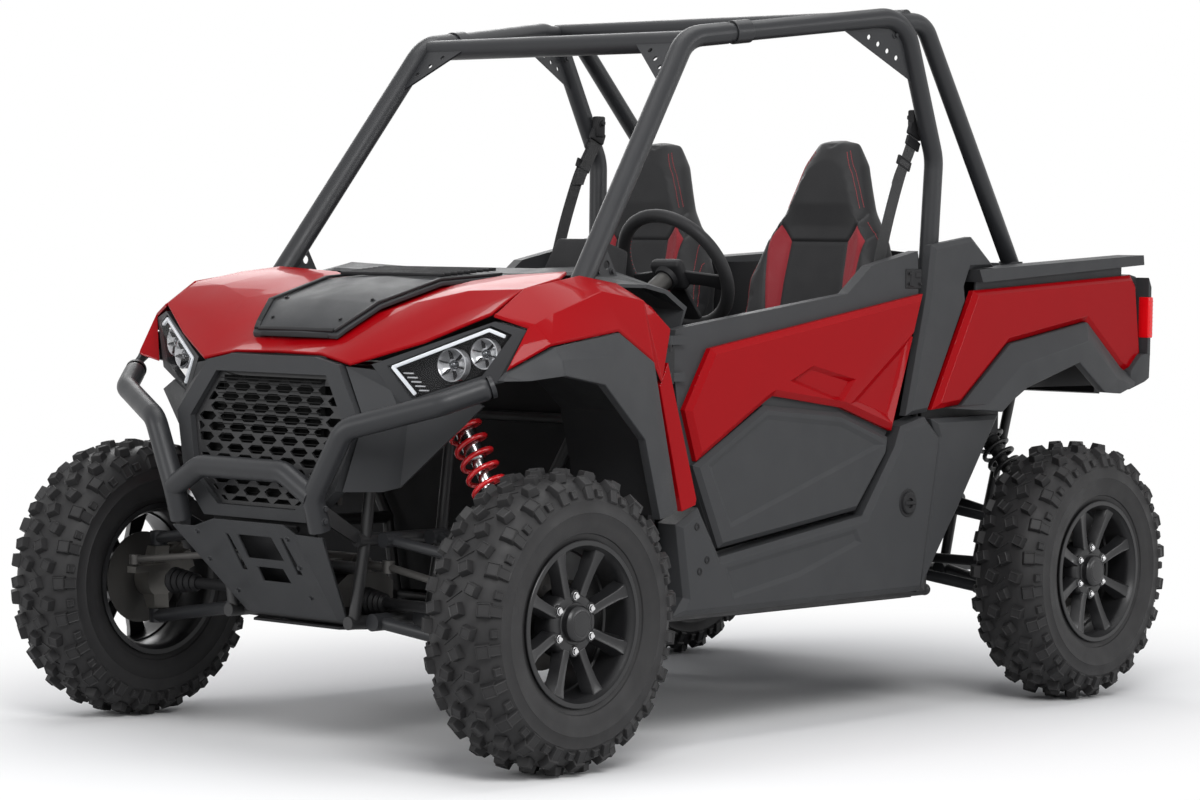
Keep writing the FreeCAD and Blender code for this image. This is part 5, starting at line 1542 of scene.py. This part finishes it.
gate = bmesh.new()
low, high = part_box("tailgate")
back = high[1]
pocket = cube((0.170, 0.008, 0.060), 0.006, 2)
pocket.normal_update()
face = max(pocket.faces, key=lambda f: f.normal.y * f.calc_area())
bmesh.ops.inset_region(pocket, faces=[face], thickness=0.008, depth=-0.005)
join(gate, pocket, moved((0, back - 0.006, 1.10)))
paddle = cube((0.12, 0.008, 0.026), 0.004, 2)
join(gate, paddle, moved((0, back - 0.002, 1.108)))
for s in (-1, 1):
    for i in range(3):
        bar = cube((0.30, 0.006, 0.012), 0.003, 2)
        join(gate, bar, moved((s * 0.28, back - 0.008, 0.96 + 0.075 * i)))
    for z in (0.90, 1.17):
        bolt(gate, Vector((s * 0.535, back, z)), Vector((0, 1, 0)), 0.006)
piece("tailgate_handle", gate, body_of["tailgate"], black_plastic)
print("bed and tail done")

# %% [markdown]
# ## Floor, light and camera
#
# The vehicle stands on a plain pale floor in a soft white studio. The world is a mild grey for the object
# and white for the camera and for mirrors, so the background is clean without flooding the paint with
# light. The floor does the same: far from the vehicle the camera sees it as white, and near the wheels it
# keeps the soft shadow that shows what the vehicle stands on.

# %% The world
def seen_directly(tree):
    """One for a ray from the camera, through a clear part or off a shiny one, else zero."""
    path = add(tree, "ShaderNodeLightPath").outputs
    either = add(tree, "ShaderNodeMath", path["Is Camera Ray"], path["Is Transmission Ray"],
                 operation="MAXIMUM")
    any_of = add(tree, "ShaderNodeMath", either.outputs[0], path["Is Glossy Ray"], operation="MAXIMUM")
    return any_of.outputs[0]


def studio():
    """A mild grey world to light the vehicle, white wherever it is seen."""
    world = bpy.data.worlds.new("studio")
    bpy.context.scene.world = world
    world.use_nodes = True
    tree = world.node_tree
    tree.nodes.clear()
    light = add(tree, "ShaderNodeBackground", Color=(0.92, 0.94, 1.0, 1), Strength=0.36)
    white = add(tree, "ShaderNodeBackground", Color=(1, 1, 1, 1), Strength=1.0)
    mix = add(tree, "ShaderNodeMixShader", seen_directly(tree), light.outputs[0], white.outputs[0])
    add(tree, "ShaderNodeOutputWorld", Surface=mix.outputs[0])


# %% The floor
FLOOR_HALF = 60.0                     # metres
FADE_REACH = (1.9, 2.7)               # half axes of the ellipse round which the floor fades to white


def floor():
    """A pale floor that turns into plain white away from the vehicle."""
    bm = bmesh.new()
    bmesh.ops.create_grid(bm, x_segments=1, y_segments=1, size=FLOOR_HALF)
    obj = linked("floor", stored("floor", bm))
    material, tree, shader = principled("pale floor")
    fill(tree, shader, Base_Color=(0.86, 0.86, 0.86, 1), Roughness=0.9, Specular_IOR_Level=0.1)
    glow = add(tree, "ShaderNodeEmission", Strength=1.0)
    place = add(tree, "ShaderNodeTexCoord").outputs["Object"]
    ellipse = add(tree, "ShaderNodeMapping", vector_type="POINT", Vector=place,
                  Scale=(1 / FADE_REACH[0], 1 / FADE_REACH[1], 1))
    far = add(tree, "ShaderNodeVectorMath", ellipse.outputs[0], operation="LENGTH")
    ramp = add(tree, "ShaderNodeMapRange", interpolation_type="SMOOTHSTEP", Value=far.outputs["Value"],
               From_Min=0.55, From_Max=1.15, To_Min=0.0)
    share = add(tree, "ShaderNodeMath", ramp.outputs["Result"], seen_directly(tree), operation="MULTIPLY")
    mix = add(tree, "ShaderNodeMixShader", share.outputs[0], shader.outputs[0], glow.outputs[0])
    fill(tree, tree.nodes["Material Output"], Surface=mix.outputs[0])
    obj.data.materials.append(material)


# %% Lamps and camera
LIT = (0, 0, 0.8)                     # the middle of the vehicle, where every lamp points


def lamp(name, place, size, watts):
    data = bpy.data.lights.new(name, "AREA")
    data.shape = "RECTANGLE"
    data.size, data.size_y = size
    data.energy = watts
    obj = linked(name, data)
    obj.location = place
    obj.rotation_euler = (Vector(LIT) - Vector(place)).to_track_quat("-Z", "Y").to_euler()


CAMERA_AT = (6.150, -7.135, 1.203)
CAMERA_TURN = (41.515, 2.348, 0.885)  # degrees of yaw, of pitch down and of roll


def camera():
    data = bpy.data.cameras.new("camera")
    obj = linked("camera", data)
    yaw, pitch, roll = (math.radians(a) for a in CAMERA_TURN)
    forward = Vector((-math.sin(yaw) * math.cos(pitch), math.cos(yaw) * math.cos(pitch), -math.sin(pitch)))
    level = Vector((math.cos(yaw), math.sin(yaw), 0))
    upright = level.cross(forward)
    right = level * math.cos(roll) + upright * math.sin(roll)
    up = upright * math.cos(roll) - level * math.sin(roll)
    turn = Matrix((right, up, -forward)).transposed().to_4x4()
    obj.matrix_world = moved(CAMERA_AT) @ turn
    data.sensor_width = 36.0
    data.lens = 104.79
    data.shift_x = 0.0095
    data.clip_end = 200.0
    bpy.context.scene.camera = obj


studio()
floor()
lamp("key", (4.4, -4.0, 4.6), (3.2, 2.4), 280)
lamp("front", (-1.5, -6.5, 2.6), (3.0, 2.0), 90)
lamp("side strip", (6.0, 2.2, 2.6), (4.5, 1.2), 90)
lamp("back", (-5.0, 3.5, 4.0), (4.0, 3.0), 120)
lamp("top", (0, 0.2, 5.5), (3.0, 5.0), 120)
camera()
bpy.context.scene.view_settings.view_transform = "Standard"

# %% The end
bpy.context.view_layer.update()
